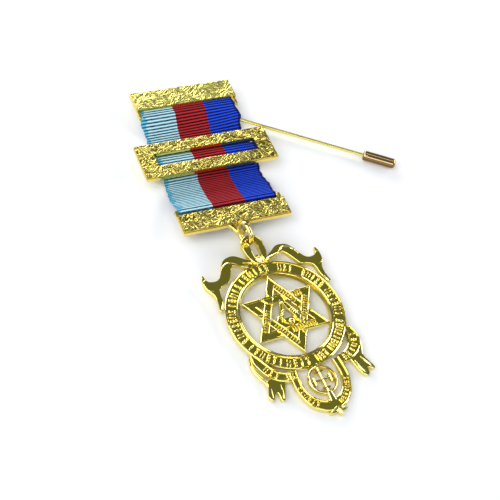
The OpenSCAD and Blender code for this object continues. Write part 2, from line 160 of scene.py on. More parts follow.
# %% Slabs
def rounded(corners, radius, steps=4):
    """An outline with its corners rounded: each corner becomes a quadratic curve between two points
    that lie one radius before it and one after it."""
    c = np.asarray(corners, float)
    before, after = np.roll(c, 1, 0) - c, np.roll(c, -1, 0) - c
    start = c + before / np.linalg.norm(before, axis=1, keepdims=True) * radius
    end = c + after / np.linalg.norm(after, axis=1, keepdims=True) * radius
    t = np.linspace(0, 1, steps)[None, :, None]
    curve = start[:, None] * (1 - t) ** 2 + c[:, None] * 2 * t * (1 - t) + end[:, None] * t ** 2
    return curve.reshape(-1, 2)


def drawn_in(outline, amount):
    """An outline moved inwards: each point goes along the sum of its two edges' normals."""
    edge = np.roll(outline, -1, 0) - outline
    normal = np.stack([-edge[:, 1], edge[:, 0]], 1) / np.linalg.norm(edge, axis=1, keepdims=True)
    pair = normal + np.roll(normal, 1, 0)
    return outline + amount * pair / (1 + np.sum(normal * np.roll(normal, 1, 0), 1))[:, None]


def slab(outline, levels, top_dulling_and_shade=0.0):
    """Loops of one outline, counterclockwise, at levels (amount drawn in, height), with a top that
    can be painted duller and shaded.
    """
    outline = np.asarray(outline, float)
    loops = [np.column_stack([drawn_in(outline, d), np.full(len(outline), z)]) for d, z in levels]
    return skin(np.array(loops), sunk=np.array([[0.0]] * (len(levels) - 1) + [[top_dulling_and_shade]]))


def bevelled(low, high, bevel=0.08):
    """Levels of a plain slab with a small bevel at its back and its face."""
    return [(bevel, low), (0, low + bevel), (0, high - bevel), (bevel, high)]


def box_outline(x0, x1, y0, y1):
    """Four corners, counterclockwise."""
    return [(x0, y0), (x1, y0), (x1, y1), (x0, y1)]


# %% Strips
def smooth_rows(rows, steps, closed=False):
    """Catmull-Rom curve through rows of numbers: each span is the cubic through its two ends whose
    slope at each end is half the step between that end's neighbours."""
    r = np.asarray(rows, float)
    p = np.vstack([r[-1:], r, r[:2]]) if closed else np.vstack([r[:1], r, r[-1:]])
    t = (np.arange(steps) / steps)[:, None, None]
    a, b, c, d = p[:-3], p[1:-2], p[2:-1], p[3:]
    span = 0.5 * (2*b + (c - a)*t + (2*a - 5*b + 4*c - d)*t**2 + (3*b - a - 3*c + d)*t**3)
    curve = span.transpose(1, 0, 2).reshape(-1, r.shape[1])
    return curve if closed else np.vstack([curve, r[-1:]])


def mirrored_section(half):
    """A whole section from its half, rows of (share, inset, height, how dull and painted-shaded):
    the other half comes back with its shares turned negative."""
    half = np.asarray(half, float)
    other = half[::-1] * [-1, 1, 1, 1]
    return np.vstack([half, other[other[:, 0] != 0]])


def bead(top, width, steps=6):
    """A half-round rim: rows of (distance in, height) on a half circle as wide as the rim."""
    return [(width/2 * (1 + np.cos(a)), top - width/2 * (1 - np.sin(a)))
            for a in np.linspace(np.pi, 0, steps)]


def channel(top, rim=0.45, drop=0.42):
    """Section of a strip with two half-round rims over a lower flat field; the field and the feet of
    the walls are painted dull and shaded.
    """
    rims = [(1, inset, height, 0) for inset, height in bead(top, rim)]
    return mirrored_section([(1, 0.12, 0, 1), (1, 0, 0.14, 1)] + rims + [
        (1, rim + 0.05, top - drop, 1), (0.5, rim + 0.1, top - drop, 1)])


def crown(top, rise=0.12, r=0.14):
    """Section of a plain strip with round edges and a face that swells to its middle; its foot is
    painted dull and shaded.
    """
    return mirrored_section([
        (1, 0.12, 0, 1), (1, 0, 0.14, 0.5), (1, 0, top - r, 0), (1, 0.3*r, top - 0.3*r, 0),
        (1, r, top, 0), (0.6, r, top + 0.7*rise, 0), (0, 0, top + rise, 0)])


def strip(rows, section, steps=6, closed=False):
    """Carries a section along rows of (x, y, half width, lift). A point lies at share times (half
    width less inset) to the left of the line, and the lift raises it by its share of the height."""
    path = smooth_rows(rows, steps, closed)
    lift = path[:, 3:4] if path.shape[1] > 3 else np.zeros((len(path), 1))
    step = (np.roll(path, -1, 0) - np.roll(path, 1, 0) if closed else np.gradient(path, axis=0))[:, :2]
    left = np.stack([-step[:, 1], step[:, 0]], 1) / np.linalg.norm(step, axis=1, keepdims=True)
    share, inset, height, sunk = section.T
    across = share * np.maximum(path[:, 2:3] - inset, 0.02)
    xy = path[:, None, :2] + across[..., None] * left[:, None]
    z = height * (1 + lift / height.max())
    return skin(np.dstack([xy, z]), wrap_rows=closed, sunk=sunk)


# %% [markdown]
# Rings, wires and the clutch are turned: a profile goes round an axis. The axis may lie in any
# direction, which the pin and the jump ring need.

# %% Turned forms
def turned(profile, count, centre=(0, 0, 0), axis=(0, 0, 1), wrap_profile=False, sunk=None):
    """Carries a profile of (radius, distance along the axis) round the axis: a point at angle t is
    centre + radius times (cos t first side + sin t second side) + distance times the axis."""
    axis = np.asarray(axis, float) / np.linalg.norm(axis)
    first = np.cross(axis, (0, 1, 0) if abs(axis[1]) < 0.9 else (1, 0, 0))
    first /= np.linalg.norm(first)
    second = np.cross(axis, first)
    t = np.linspace(0, 2*np.pi, count, endpoint=False)[:, None]
    spoke = np.cos(t) * first + np.sin(t) * second
    profile = np.asarray(profile, float)
    points = np.asarray(centre) + profile[:, None, :1] * spoke + profile[:, None, 1:2] * axis
    shade = None if sunk is None else np.asarray(sunk, float)[:, None]
    return skin(points, wrap_rows=wrap_profile, sunk=shade)


def studs(places, steps=10, rings=5, power=0.75):
    """Cushion studs at rows of (x, y, turn in degrees, half length, half width, base, height). Each
    is a ball, from a little under its middle to near its pole, whose sines and cosines are raised
    to a power below one, which squares it off."""
    u = np.linspace(0, 2*np.pi, steps, endpoint=False)
    v = np.linspace(-0.15, 0.82, rings)[:, None] * np.pi / 2

    def bent(a):
        """A number with its size raised to the power and its sign kept."""
        return np.sign(a) * np.abs(a) ** power

    ball = np.dstack([bent(np.cos(v)) * bent(np.cos(u)), bent(np.cos(v)) * bent(np.sin(u)),
                      np.broadcast_to(bent(np.sin(v)), (rings, steps))]).reshape(-1, 3)
    x, y, turn, a, b, base, height = (c[:, None] for c in np.asarray(places, float).T)
    c, s = cos_sin(turn)
    px, py = ball[:, 0] * a, ball[:, 1] * b
    points = np.dstack([x + c*px - s*py, y + s*px + c*py, base + ball[:, 2] * height])
    one, size = grid_quads(rings, steps, wrap_cols=True), rings * steps
    starts = np.arange(len(points)) * size
    caps = [list(range(s0 + k, s0 + k + steps)) for s0 in starts.tolist() for k in (0, size - steps)]
    quads = (one[None] + starts[:, None, None]).reshape(-1, 4)
    return Patch(points.reshape(-1, 3), quads, caps, np.zeros(points.size // 3))


# %% [markdown]
# ## Finishes
#
# The gilding is one effect on four kinds of metal, so it is a node group: a bright gold on what
# stands up; a duller and greener gold in the sunk fields where polish does not reach, darkened
# further there as painted shade, and also at the feet of walls and on broad flats; a painted
# reflection tint on upright faces, set by which way they look; a slow drift of tone; and a fine
# grain that roughens the mirror a little.

# %% A gilding group
def socket(group, name, kind, value=None, out=False):
    """A named input or output on a node group."""
    made = group.interface.new_socket(name, in_out="OUTPUT" if out else "INPUT", socket_type=kind)
    if value is not None:
        made.default_value = value
    return made


def add(tree, kind, links=(), **settings):
    """A shader node with its settings and its inputs: a value, or a socket to link from."""
    node = tree.nodes.new(kind)
    for key, value in settings.items():
        setattr(node, key, value)
    for key, value in dict(links).items():
        if isinstance(value, bpy.types.NodeSocket):
            tree.links.new(value, node.inputs[key])
        else:
            node.inputs[key].default_value = value
    return node


def mix_colour(tree, share, first, second):
    """A colour between two, by a share."""
    return add(tree, "ShaderNodeMix", {0: share, 6: first, 7: second}, data_type="RGBA").outputs[2]


def blend_range(tree, value, low, high, to_low, to_high):
    """A value moved from one range to another."""
    return add(tree, "ShaderNodeMapRange", {0: value, 1: low, 2: high, 3: to_low, 4: to_high}).outputs[0]


def gilding_group():
    """Colour, roughness and grain of worn gilding, with painted shade in its dull share and a
    painted reflection tint on steep faces.
    """
    tree = bpy.data.node_groups.new("gilding", "ShaderNodeTree")
    for name, kind, value in (("Bright", "NodeSocketColor", (1, 0.8, 0.3, 1)),
                              ("Dull_Shaded_Colour", "NodeSocketColor", (0.5, 0.4, 0.1, 1)),
                              ("Side", "NodeSocketColor", (0.9, 0.6, 0.15, 1)),
                              ("Sunk", "NodeSocketFloat", 0.0), ("Polish", "NodeSocketFloat", 0.15),
                              ("Grain", "NodeSocketFloat", 0.1)):
        socket(tree, name, kind, value)
    for name, kind in (("Colour", "NodeSocketColor"), ("Roughness", "NodeSocketFloat"),
                       ("Normal", "NodeSocketVector")):
        socket(tree, name, kind, out=True)
    inside, out = tree.nodes.new("NodeGroupInput"), tree.nodes.new("NodeGroupOutput")
    place = add(tree, "ShaderNodeTexCoord").outputs["Object"]
    drift = add(tree, "ShaderNodeTexNoise", {"Vector": place, "Scale": 260.0, "Detail": 3.0}).outputs[0]
    fine = add(tree, "ShaderNodeTexNoise", {"Vector": place, "Scale": 5200.0, "Detail": 2.0}).outputs[0]
    # how dull a point is: the mesh's share, which is painted shade as well as duller gilding, plus a random
    # drift
    dull = add(tree, "ShaderNodeMath", {0: inside.outputs["Sunk"],
                                        1: blend_range(tree, drift, 0.3, 0.7, -0.12, 0.2)},
               operation="ADD", use_clamp=True).outputs[0]
    # steep faces take the side colour: a painted reflection tint, set by which way the face looks
    facing = add(tree, "ShaderNodeSeparateXYZ", {0: add(tree, "ShaderNodeTexCoord").outputs["Normal"]})
    level = add(tree, "ShaderNodeMath", {0: facing.outputs[2]}, operation="ABSOLUTE").outputs[0]
    side = blend_range(tree, level, 0.15, 0.6, 1, 0)
    face = mix_colour(tree, dull, inside.outputs["Bright"], inside.outputs["Dull_Shaded_Colour"])
    tree.links.new(mix_colour(tree, side, face, inside.outputs["Side"]), out.inputs["Colour"])
    wear = add(tree, "ShaderNodeMath", {0: dull, 1: 0.05, 2: inside.outputs["Polish"]},
               operation="MULTIPLY_ADD").outputs[0]
    rough = add(tree, "ShaderNodeMath", {0: fine, 1: inside.outputs["Grain"], 2: wear},
                operation="MULTIPLY_ADD").outputs[0]
    tree.links.new(rough, out.inputs["Roughness"])
    bump = add(tree, "ShaderNodeBump", {"Strength": 0.06, "Distance": 0.00002, "Height": fine})
    tree.links.new(bump.outputs[0], out.inputs["Normal"])
    return tree


GILDING = gilding_group()
print("gilding group has", len(GILDING.nodes), "nodes")


# %% Metals
def new_material(name, metallic, **plain):
    """A material with its Principled shader; what is even all over is set on the shader itself."""
    material = bpy.data.materials.new(name)
    material.use_nodes = True
    shader = material.node_tree.nodes["Principled BSDF"]
    shader.inputs["Metallic"].default_value = metallic
    for key, value in plain.items():
        shader.inputs[key.replace("_", " ")].default_value = value
    return material, material.node_tree, shader


def gilt(name, bright, dull, side, polish, grain):
    """A gilded metal: the group's outputs feed the shader, and the mesh says how dull and how
    painted-shaded each point is; the side colour is a painted reflection tint.
    """
    material, tree, shader = new_material(name, 1.0)
    sunk = add(tree, "ShaderNodeAttribute", attribute_name="sunk").outputs["Fac"]
    group = add(tree, "ShaderNodeGroup", node_tree=GILDING)
    for key, value in (("Bright", (*bright, 1)), ("Dull_Shaded_Colour", (*dull, 1)), ("Side", (*side, 1)),
                       ("Polish", polish), ("Grain", grain)):
        group.inputs[key].default_value = value
    tree.links.new(sunk, group.inputs["Sunk"])
    for key, to in (("Colour", "Base Color"), ("Roughness", "Roughness"), ("Normal", "Normal")):
        tree.links.new(group.outputs[key], shader.inputs[to])
    return material


# colour of what stands up, of what is sunk (duller gold with painted shade) and of upright walls
# (a painted reflection tint), then roughness and its grain
SIDE_PAINTED_REFLECTION = (0.95, 0.73, 0.20)
# the top bar's gilding is the bars' gilding painted brighter: painted light for the stronger light its
# leaves catch
TOP_GILT_PAINTED_BRIGHT = gilt("top_bar_gilt_painted_bright", (0.98, 0.89, 0.27), (0.92, 0.80, 0.13), SIDE_PAINTED_REFLECTION, 0.24, 0.05)
BAR_GILT = gilt("bar_gilt", (0.94, 0.78, 0.20), (0.40, 0.32, 0.03), SIDE_PAINTED_REFLECTION, 0.2, 0.05)
CAST_GILT = gilt("cast_gilt", (0.97, 0.87, 0.33), (0.80, 0.71, 0.09), (0.95, 0.78, 0.25), 0.06, 0.02)
WIRE_GILT = gilt("wire_gilt", (0.90, 0.76, 0.27), (0.62, 0.50, 0.11), (0.74, 0.57, 0.17), 0.1, 0.02)
# the clutch's side colour is nearly black: painted shade that takes away the table's glow on its lower half
CLUTCH_GILT = gilt("clutch_gilt", (0.62, 0.42, 0.19), (0.30, 0.17, 0.07), (0.21, 0.12, 0.05), 0.05, 0.02)
print("metals:", [m.name for m in bpy.data.materials])

# %% [markdown]
# ## Bars with cast leaves
#
# The faces of the bars are covered with small leaves that lie every way. A photo texture would
# go flat in other views, so each leaf is a low ridge: its height falls in two straight slopes
# from a curved spine, and where leaves cross, the higher one shows. The slopes are what sparkle.

# %% Leaf relief
# the grid's step and how far in the leaves fade; then their height, half width for their length,
# the swirl's greatest angle, and the power that rounds their slopes
STEP, EDGE_FADE = 0.1, 0.22
RELIEF, SPREAD, SWIRL, ROUNDNESS = 0.18, 0.22, 0.9, 1.5


def leafwork(x, y, width, height, per_mm2, long, stray, seed):
    """Height of the leaves at points: the greatest, over all leaves, of tall times (1 - a power of
    the distance from the bent spine over the half width there), where the half width narrows to
    both tips. The leaves follow a slow swirl, give or take the stray angle."""
    rng = np.random.default_rng(seed)
    count = int(per_mm2 * width * height)
    place = rng.uniform(-0.5, 0.5, (count, 2)) * [width, height]
    swirl = SWIRL * np.sin(0.62*place[:, 0] + 1.6*np.sin(0.7*place[:, 1] + 0.23*place[:, 0]) + seed)
    angle, size = swirl + rng.uniform(-stray, stray, count), rng.uniform(0.6, 1.2, count)
    bend, tall = rng.uniform(-0.5, 0.5, count), rng.uniform(0.45, 1.0, count)
    relief = np.zeros_like(x)
    for (cx, cy), a, s, k, t in zip(place, angle, size, bend, tall):
        half = 0.5 * long * s
        near = (np.abs(x - cx) < half) & (np.abs(y - cy) < half)
        dx, dy = x[near] - cx, y[near] - cy
        u, v = (dx*np.cos(a) + dy*np.sin(a)) / half, (dy*np.cos(a) - dx*np.sin(a)) / half
        spread = SPREAD * (1 - u*u)
        ridge = t * (1 - (np.abs(v - k*(u*u - 0.3)) / np.maximum(spread, 1e-3)) ** ROUNDNESS)
        relief[near] = np.maximum(relief[near], np.where(spread > 0, ridge, 0))
    return relief


def face_height(relief, fade):
    """Height of a bar's face: leaves on a ground that lies a third of their height below the rim."""
    return FACE + RELIEF * (relief - 0.35 * fade)


def leaf_shade(relief):
    """How dull the gilding is, with painted shade: most on the ground between the leaves, none on the
    upper halves of the leaves.
    """
    return np.clip(1 - 2.2 * relief, 0, 1) * 0.8


# %% [markdown]
# A ribbon bar is a plate with a hollow back. The plate's face is a grid, and its edge is the
# grid's own outer loop, let out, rounded over and carried down to the back.

# %% The plate of a bar
BAR_W, BAR_T, PLATE_T, POST_W, LET_OUT = 33.6, 1.9, 1.1, 1.0, 0.07
# loops down the edge, with a groove that draws a dark line under the face: (out, down)
PLATE_EDGE = [(0.05, 0.04), (LET_OUT, 0.1), (LET_OUT, 0.18), (-0.14, 0.24), (-0.14, 0.4), (LET_OUT, 0.5),
              (LET_OUT, PLATE_T)]


def outer_loop(rows, cols):
    """Numbers of the points round a grid's edge, counterclockwise."""
    first = np.arange(cols - 1)
    right = np.arange(rows - 1) * cols + cols - 1
    return np.concatenate([first, right, (rows - 1)*cols + first[::-1] + 1,
                           (np.arange(rows - 1)[::-1] + 1) * cols])


def relief_plate(width, height, leaves):
    """The face grid with its leaves, then loops that round the edge over and close the back."""
    cols, rows = int(width / STEP) + 1, int(height / STEP) + 1
    x, y = np.meshgrid(np.linspace(-width/2, width/2, cols), np.linspace(-height/2, height/2, rows))
    rim = np.minimum(width/2 - np.abs(x), height/2 - np.abs(y))
    fade = np.clip(rim / EDGE_FADE, 0, 1)
    relief = leafwork(x, y, width, height, *leaves) * fade
    top = np.dstack([x, y, face_height(relief, fade)]).reshape(-1, 3)
    ring = outer_loop(rows, cols)
    edge = top[ring]
    out = np.column_stack([np.sign(edge[:, 0]) * (np.abs(edge[:, 0]) > width/2 - 1e-6),
                           np.sign(edge[:, 1]) * (np.abs(edge[:, 1]) > height/2 - 1e-6)])
    loops = [edge] + [np.column_stack([edge[:, :2] + out * far, np.full(len(edge), FACE - down)])
                      for far, down in PLATE_EDGE]
    side = skin(np.array(loops), capped=False)
    back = list(range(side.points.shape[0] - len(edge), side.points.shape[0]))
    sunk = np.concatenate([leaf_shade(relief.reshape(-1)), side.sunk])
    quads = np.vstack([grid_quads(rows, cols), side.quads + len(top)])
    return Patch(np.vstack([top, side.points]), quads, [[k + len(top) for k in back]], sunk), ring


def welded_plate(width, height, leaves):
    """The plate with the grid's edge and the first side loop as the same points."""
    patch, ring = relief_plate(width, height, leaves)
    first = len(patch.points) - (len(PLATE_EDGE) + 1) * len(ring)
    number = np.arange(len(patch.points))
    number[first:first + len(ring)] = ring
    keep = np.ones(len(number), bool)
    keep[first:first + len(ring)] = False
    fresh = np.cumsum(keep) - 1
    number = fresh[number]
    caps = [[int(number[k]) for k in cap] for cap in patch.caps]
    return Patch(patch.points[keep], number[patch.quads], caps, patch.sunk[keep])


# %% [markdown]
# Behind the plate run two end walls and the far wall, in one piece, and two posts that hold the
# rail which the ribbon rides over. The far wall stands a hair proud, as on the real bars, where
# it draws a bright line under the leaves.

# %% Walls, posts and rail
SLOT_H, RAIL_D, RAIL_Z = 1.8, 1.0, FACE - 1.96
PROUD, WALL_DROP = 0.12, 0.42


def bar_frame(height):
    """The hollow back's wall, the posts and the rail, round the middle of the bar."""
    w, h, back, out, top = BAR_W / 2, height / 2, FACE - BAR_T, BAR_W / 2 + PROUD, height / 2 + PROUD
    wall = [(-out, -h), (-w + POST_W, -h), (-w + POST_W, h - POST_W), (w - POST_W, h - POST_W),
            (w - POST_W, -h), (out, -h), (out, top), (-out, top)]
    levels = [(0.1, back), (0, back + 0.1), (0, FACE - WALL_DROP - 0.06), (0.06, FACE - WALL_DROP)]
    parts = [slab(wall, levels)]
    rail_y = -h - SLOT_H - RAIL_D / 2
    for side in (-1, 1):
        x0, x1 = sorted((side * w, side * (w - POST_W)))
        post = rounded(box_outline(x0, x1, rail_y - 0.3, -h + 0.5), 0.2)
        parts.append(slab(post, bevelled(RAIL_Z - 0.5, RAIL_Z + 0.8, 0.15)))
    r = RAIL_D / 2
    profile = [(0.7*r, 0), (r, 0.12), (r, BAR_W - 0.12), (0.7*r, BAR_W)]
    parts.append(turned(profile, 20, (-w, rail_y, RAIL_Z), (1, 0, 0)))
    return parts


def set_down(patches, x, y, turn):
    """Turns patches about their own middle and moves them to their place on the plan."""
    c, s = cos_sin(turn)
    spin = np.array([[c, s, 0], [-s, c, 0], [0, 0, 1]])
    return [moved(p, lambda q: q @ spin + [x, y, 0]) for p in patches]


# %% Top and lower bar
TOP = dict(x=0.9, y=84.8, turn=0.8)
LOW = dict(x=-0.9, y=35.3, turn=179.4)
TOP_H, LOW_H = 7.2, 6.2
# leaves per square millimetre, their length, how far they stray from X, and the draw
TOP_LEAVES, LOW_LEAVES, SLIDE_LEAVES = (1.5, 3.6, 0.35, 11), (1.5, 3.3, 0.6, 23), (1.5, 3.1, 0.8, 37)


def bar(height, place, leaves):
    """One ribbon bar: plate, wall, posts and rail, in their place."""
    plate = welded_plate(BAR_W - 2*LET_OUT, height - 2*LET_OUT, leaves)
    return set_down([plate] + bar_frame(height), **place)


# %% [markdown]
# The pin is a straight drawn wire, soldered behind the top bar and ground to a point that stays
# inside its clutch.

# %% The pin
PIN_ANGLE, PIN_Z, PIN_R, PIN_LEN = -34.0, 1.65, 0.525, 74.0
ROOT = np.array([-3.7, 87.1, PIN_Z])
PIN_AXIS = np.array([*cos_sin(PIN_ANGLE), 0])
wire = [(0.3, -2), (PIN_R, -1.8), (PIN_R, PIN_LEN - 2), (0.8*PIN_R, PIN_LEN - 1.2), (0.1, PIN_LEN)]
pad = set_down([slab(rounded(box_outline(-3, 3, -2, 1.2), 0.5), bevelled(PIN_Z, FACE - BAR_T + 0.2, 0.2))],
               ROOT[0], ROOT[1], 0)
make("brooch_bar_cast", bar(TOP_H, TOP, TOP_LEAVES) + pad + [turned(wire, 28, ROOT, PIN_AXIS)],
     TOP_GILT_PAINTED_BRIGHT, "brooch_bar")

# %% [markdown]
# The lower bar carries a round lug with a hole, on a web that flares into the bar. It is a slab
# with a turned hole: a ring section carried round, and a web behind it.

# %% The lower bar and its lug
LUG = np.array([-0.9, 31.4])
LUG_HOLE, LUG_RIM = 1.5, 1.2
lug_low, lug_high = FACE - BAR_T, FACE - 0.5
hole, rim_r = LUG_HOLE, LUG_HOLE + LUG_RIM
lug_section = [(hole + 0.15, lug_low), (rim_r - 0.15, lug_low), (rim_r, lug_low + 0.2),
               (rim_r, lug_high - 0.2), (rim_r - 0.25, lug_high), (hole + 0.2, lug_high),
               (hole, lug_high - 0.15), (hole, lug_low + 0.15)]
web = [(rim_r + 1.6, 1.35), (-rim_r - 1.6, 1.35), (-rim_r - 0.6, 0.75), (-rim_r - 0.05, -0.2),
       (-rim_r + 0.5, -0.1), (-1.75, 1.1), (1.75, 1.1), (rim_r - 0.5, -0.1), (rim_r + 0.05, -0.2),
       (rim_r + 0.6, 0.75)]
lug = [turned(lug_section, 40, wrap_profile=True), slab(web, bevelled(lug_low, lug_high, 0.1))]
make("lower_bar_cast", bar(LOW_H, LOW, LOW_LEAVES) + set_down(lug, *LUG, 0),
     BAR_GILT, "lower_bar")

# %% [markdown]
# ## The slide bar
#
# This bar is a picture frame: a rectangle with a window. Its section closes on itself, from the
# window up over the face, down the outer side and back under, so the whole frame is one ring
# surface carried round the window. Round it, the points keep to straight sides, so corners stay
# square, and the leaves are looked up by place, so no mitre shows.

# %% A frame round a window
SLIDE_W, SLIDE_H, SLIDE_T, WINDOW_W, WINDOW_H = 42.8, 12.9, 1.7, 32.7, 4.8


def rectangle(width, height, across, up):
    """Points round a rectangle, counterclockwise, as many to a side whatever its size."""
    a, b = np.linspace(-0.5, 0.5, across, endpoint=False), np.linspace(-0.5, 0.5, up, endpoint=False)
    x = np.concatenate([a, np.full(up, 0.5), -a, np.full(up, -0.5)])
    y = np.concatenate([np.full(across, -0.5), b, np.full(across, 0.5), -b])
    return np.column_stack([x * width, y * height])


def window_frame():
    """Loops from the window's edge to the outer edge, then down and back under."""
    across, up, deep = int(SLIDE_W / STEP), int(SLIDE_H / STEP), int((SLIDE_H - WINDOW_H)/2 / STEP)
    inner = rectangle(WINDOW_W, WINDOW_H, across, up)
    outer = rectangle(SLIDE_W - 2*LET_OUT, SLIDE_H - 2*LET_OUT, across, up)
    share = np.linspace(0, 1, deep)[:, None, None]
    face = inner + (outer - inner) * share
    x, y = face[..., 0], face[..., 1]
    rim = np.minimum(SLIDE_W/2 - np.abs(x), SLIDE_H/2 - np.abs(y))
    hole_rim = np.maximum(np.abs(x) - WINDOW_W/2, np.abs(y) - WINDOW_H/2)
    fade = np.clip(np.minimum(rim, hole_rim) / EDGE_FADE, 0, 1)
    relief = leafwork(x, y, SLIDE_W, SLIDE_H, *SLIDE_LEAVES) * fade
    top = np.dstack([x, y, face_height(relief, fade)])
    # loop, how far it is let out, height over the face
    sides = [(outer, 0.05, -0.04), (outer, LET_OUT, -0.1), (outer, LET_OUT, -0.2), (outer, -0.16, -0.28),
             (outer, -0.16, -0.46), (outer, LET_OUT, -0.56), (outer, LET_OUT, -SLIDE_T + 0.1),
             (outer, -0.05, -SLIDE_T), (inner, 0.12, -SLIDE_T), (inner, 0.0, -SLIDE_T + 0.12),
             (inner, 0.0, -0.08)]
    loops = [np.column_stack([drawn_in(o, -d), np.full(len(o), FACE + z)]) for o, d, z in sides]
    sunk = np.vstack([leaf_shade(relief), np.zeros((len(loops), len(inner)))])
    return skin(np.concatenate([top, np.array(loops)]), wrap_rows=True, sunk=sunk)


frame_skin = window_frame()
STRAP_HALF, POST_HALF, SLACK, RIBBON_ROOM = 1.8, 1.1, 0.45, 0.46
strap_top = FACE - SLIDE_T - SLACK - RIBBON_ROOM
POST_X = (WINDOW_W + SLIDE_W) / 4 - 0.6
strap = [slab(rounded(box_outline(-POST_X - POST_HALF, POST_X + POST_HALF, -STRAP_HALF, STRAP_HALF), 0.6),
              bevelled(strap_top - 0.8, strap_top, 0.12))]
for middle_x in (-POST_X, POST_X):
    post = rounded(box_outline(middle_x - POST_HALF, middle_x + POST_HALF, -STRAP_HALF, STRAP_HALF), 0.4)
    strap.append(slab(post, bevelled(strap_top - 0.5, FACE - SLIDE_T + 0.3, 0.1)))
make("slide_bar_cast", set_down([frame_skin] + strap, *SLIDE_AT, 0), BAR_GILT, "slide_bar")

# %% [markdown]
# ## The jump ring and the clutch
#
# The jump ring is bent from round wire, and its two cut ends meet with a hair of a gap. The
# clutch is turned: a rounded end, a straight body and a chamfered mouth round the pin.

# %% Jump ring
LINK_R, LINK_WIRE, LINK_TURN = 3.25, 0.7, 10.0
LINK_AT = np.array([-0.55, 28.55, LINK_R + LINK_WIRE])
SEAM, SEAM_AT = np.radians(1.6), np.pi / 3
around = np.linspace(np.pi/2 + SEAM, 5*np.pi/2 - SEAM, 120)[:, None]
wire_turn = np.linspace(0, 2*np.pi, 22, endpoint=False)[None]
reach = LINK_R + LINK_WIRE * np.cos(wire_turn)
link_y, link_z = reach * np.cos(around + SEAM_AT), reach * np.sin(around + SEAM_AT)
link_x = np.broadcast_to(LINK_WIRE * np.sin(wire_turn), link_y.shape)
c, s = cos_sin(LINK_TURN)
link = skin(np.dstack([link_x*c - link_y*s, link_x*s + link_y*c, link_z]) + LINK_AT)
make("jump_ring_wire", [link], WIRE_GILT, "jump_ring", crease=50)

# %% Clutch
CLUTCH_R, CLUTCH_LEN, CLUTCH_BORE, CLUTCH_ROUND = 1.65, 10.8, 8.4, 1.1
PIN_BARE = 66.0
MOUTH = ROOT + PIN_AXIS * PIN_BARE
bore = PIN_R + 0.05
end = np.radians(np.linspace(0, 84, 9))
clutch_profile = np.vstack([
    [(0.05, CLUTCH_BORE), (bore, CLUTCH_BORE - 0.3), (bore, 0.4), (bore + 0.15, 0.1), (bore + 0.4, 0.0),
     (1.15, 0.0), (1.45, 0.08), (1.6, 0.25), (CLUTCH_R, 0.5)],
    np.column_stack([CLUTCH_R - CLUTCH_ROUND + CLUTCH_ROUND*np.cos(end),
                     CLUTCH_LEN - CLUTCH_ROUND + CLUTCH_ROUND*np.sin(end)]),
    [(0.4, CLUTCH_LEN), (0.05, CLUTCH_LEN)]])
make("pin_clutch_turned", [turned(clutch_profile, 48, MOUTH, PIN_AXIS)], CLUTCH_GILT,
     "pin_clutch", body="clutch", crease=40)

# %% [markdown]
# ## The pendant
#
# One casting, pierced between its parts. It is worked out flat, round the middle of its ring,
# and then tipped about its foot, because its loop lies on the jump ring.

# %% Tipping the pendant into place
CAST_T, RING_R, BAND = 1.6, 17.1, 3.8
HOLE_R = RING_R - BAND
FOOT_Y, LOOP_TOP, LOOP_BAND = 32.0, 26.8, 1.3
PENDANT_AT, PENDANT_TURN = (1.0, 1.23), 2.0
LOOP_RISE = 2*LINK_WIRE + 0.3
TILT = np.arcsin(LOOP_RISE / (FOOT_Y + LOOP_TOP - LOOP_BAND))


def hang(patches):
    """Tips flat patches about the foot, then turns them and sets them on the plan."""
    c, s = np.cos(TILT), np.sin(TILT)
    tip = np.array([[1, 0, 0], [0, c, s], [0, -s, c]])
    return set_down([moved(p, lambda q: (q + [0, FOOT_Y, 0]) @ tip - [0, FOOT_Y, 0]) for p in patches],
                    *PENDANT_AT, PENDANT_TURN)


# %% Ring band
FIELD = CAST_T - 0.45
RIM = 0.5
# rows of radius, height, and how dull and painted-shaded: underside, inner edge, field
inner_rim = [(HOLE_R + d, z, 0) for d, z in bead(CAST_T, RIM)]
outer_rim = [(RING_R - d, z, 0) for d, z in bead(CAST_T, RIM)[::-1]]
ring_profile = np.array(
    [(HOLE_R - 0.7, 0, 1), (HOLE_R - 0.8, 0.15, 0), (HOLE_R - 0.42, 1.28, 0), (HOLE_R - 0.36, 1.4, 0),
     (HOLE_R - 0.2, 1.42, 0), (HOLE_R - 0.04, 1.32, 0.6)] + inner_rim
    + [(HOLE_R + RIM + 0.05, FIELD, 1), (RING_R - RIM - 0.05, FIELD, 1)] + outer_rim
    + [(RING_R, 0.3, 0), (RING_R - 0.25, 0, 1)])
ring_band = turned(ring_profile[:, :2], 220, wrap_profile=True, sunk=ring_profile[:, 2])


# %% [markdown]
# The sunk fields hold a plain bead-and-reel of upright bars and round beads, in groups with bare
# gaps between them. Groups are short rows: where one starts and ends, and how many signs it has.

# %% Bead and reel
PATTERN = ("bar", "beads", "twin", "bar", "drop", "beads", "twin", "drop")


def sign(kind, x, y, turn, long, wide):
    """Studs of one sign: an upright bar, two thin bars, a column of beads, or a drop over a bead."""
    c, s = cos_sin(turn)
    low, high = FIELD - 0.1, 0.55

    def at(u, v):
        """The place a share of the sign's half length and half width from its middle."""
        return x + c*u*long - s*v*wide, y + s*u*long + c*v*wide

    if kind == "twin":
        return [(*at(0.1*v, 0.55*v), turn, 0.95*long, 0.3*wide, low, high) for v in (-1, 1)]
    if kind == "beads":
        return [(*at(u, 0.12*np.sign(u)), turn, 0.32*long, (0.75 - 0.15*abs(u))*wide, low, high)
                for u in (-0.68, 0, 0.68)]
    if kind == "drop":
        return [(*at(0.3, 0), turn, 0.68*long, 0.5*wide, low, high),
                (*at(-0.72, 0), turn, 0.26*long, 0.8*wide, low, high)]
    return [(*at(0, 0), turn, long, 0.42*wide, low, high)]


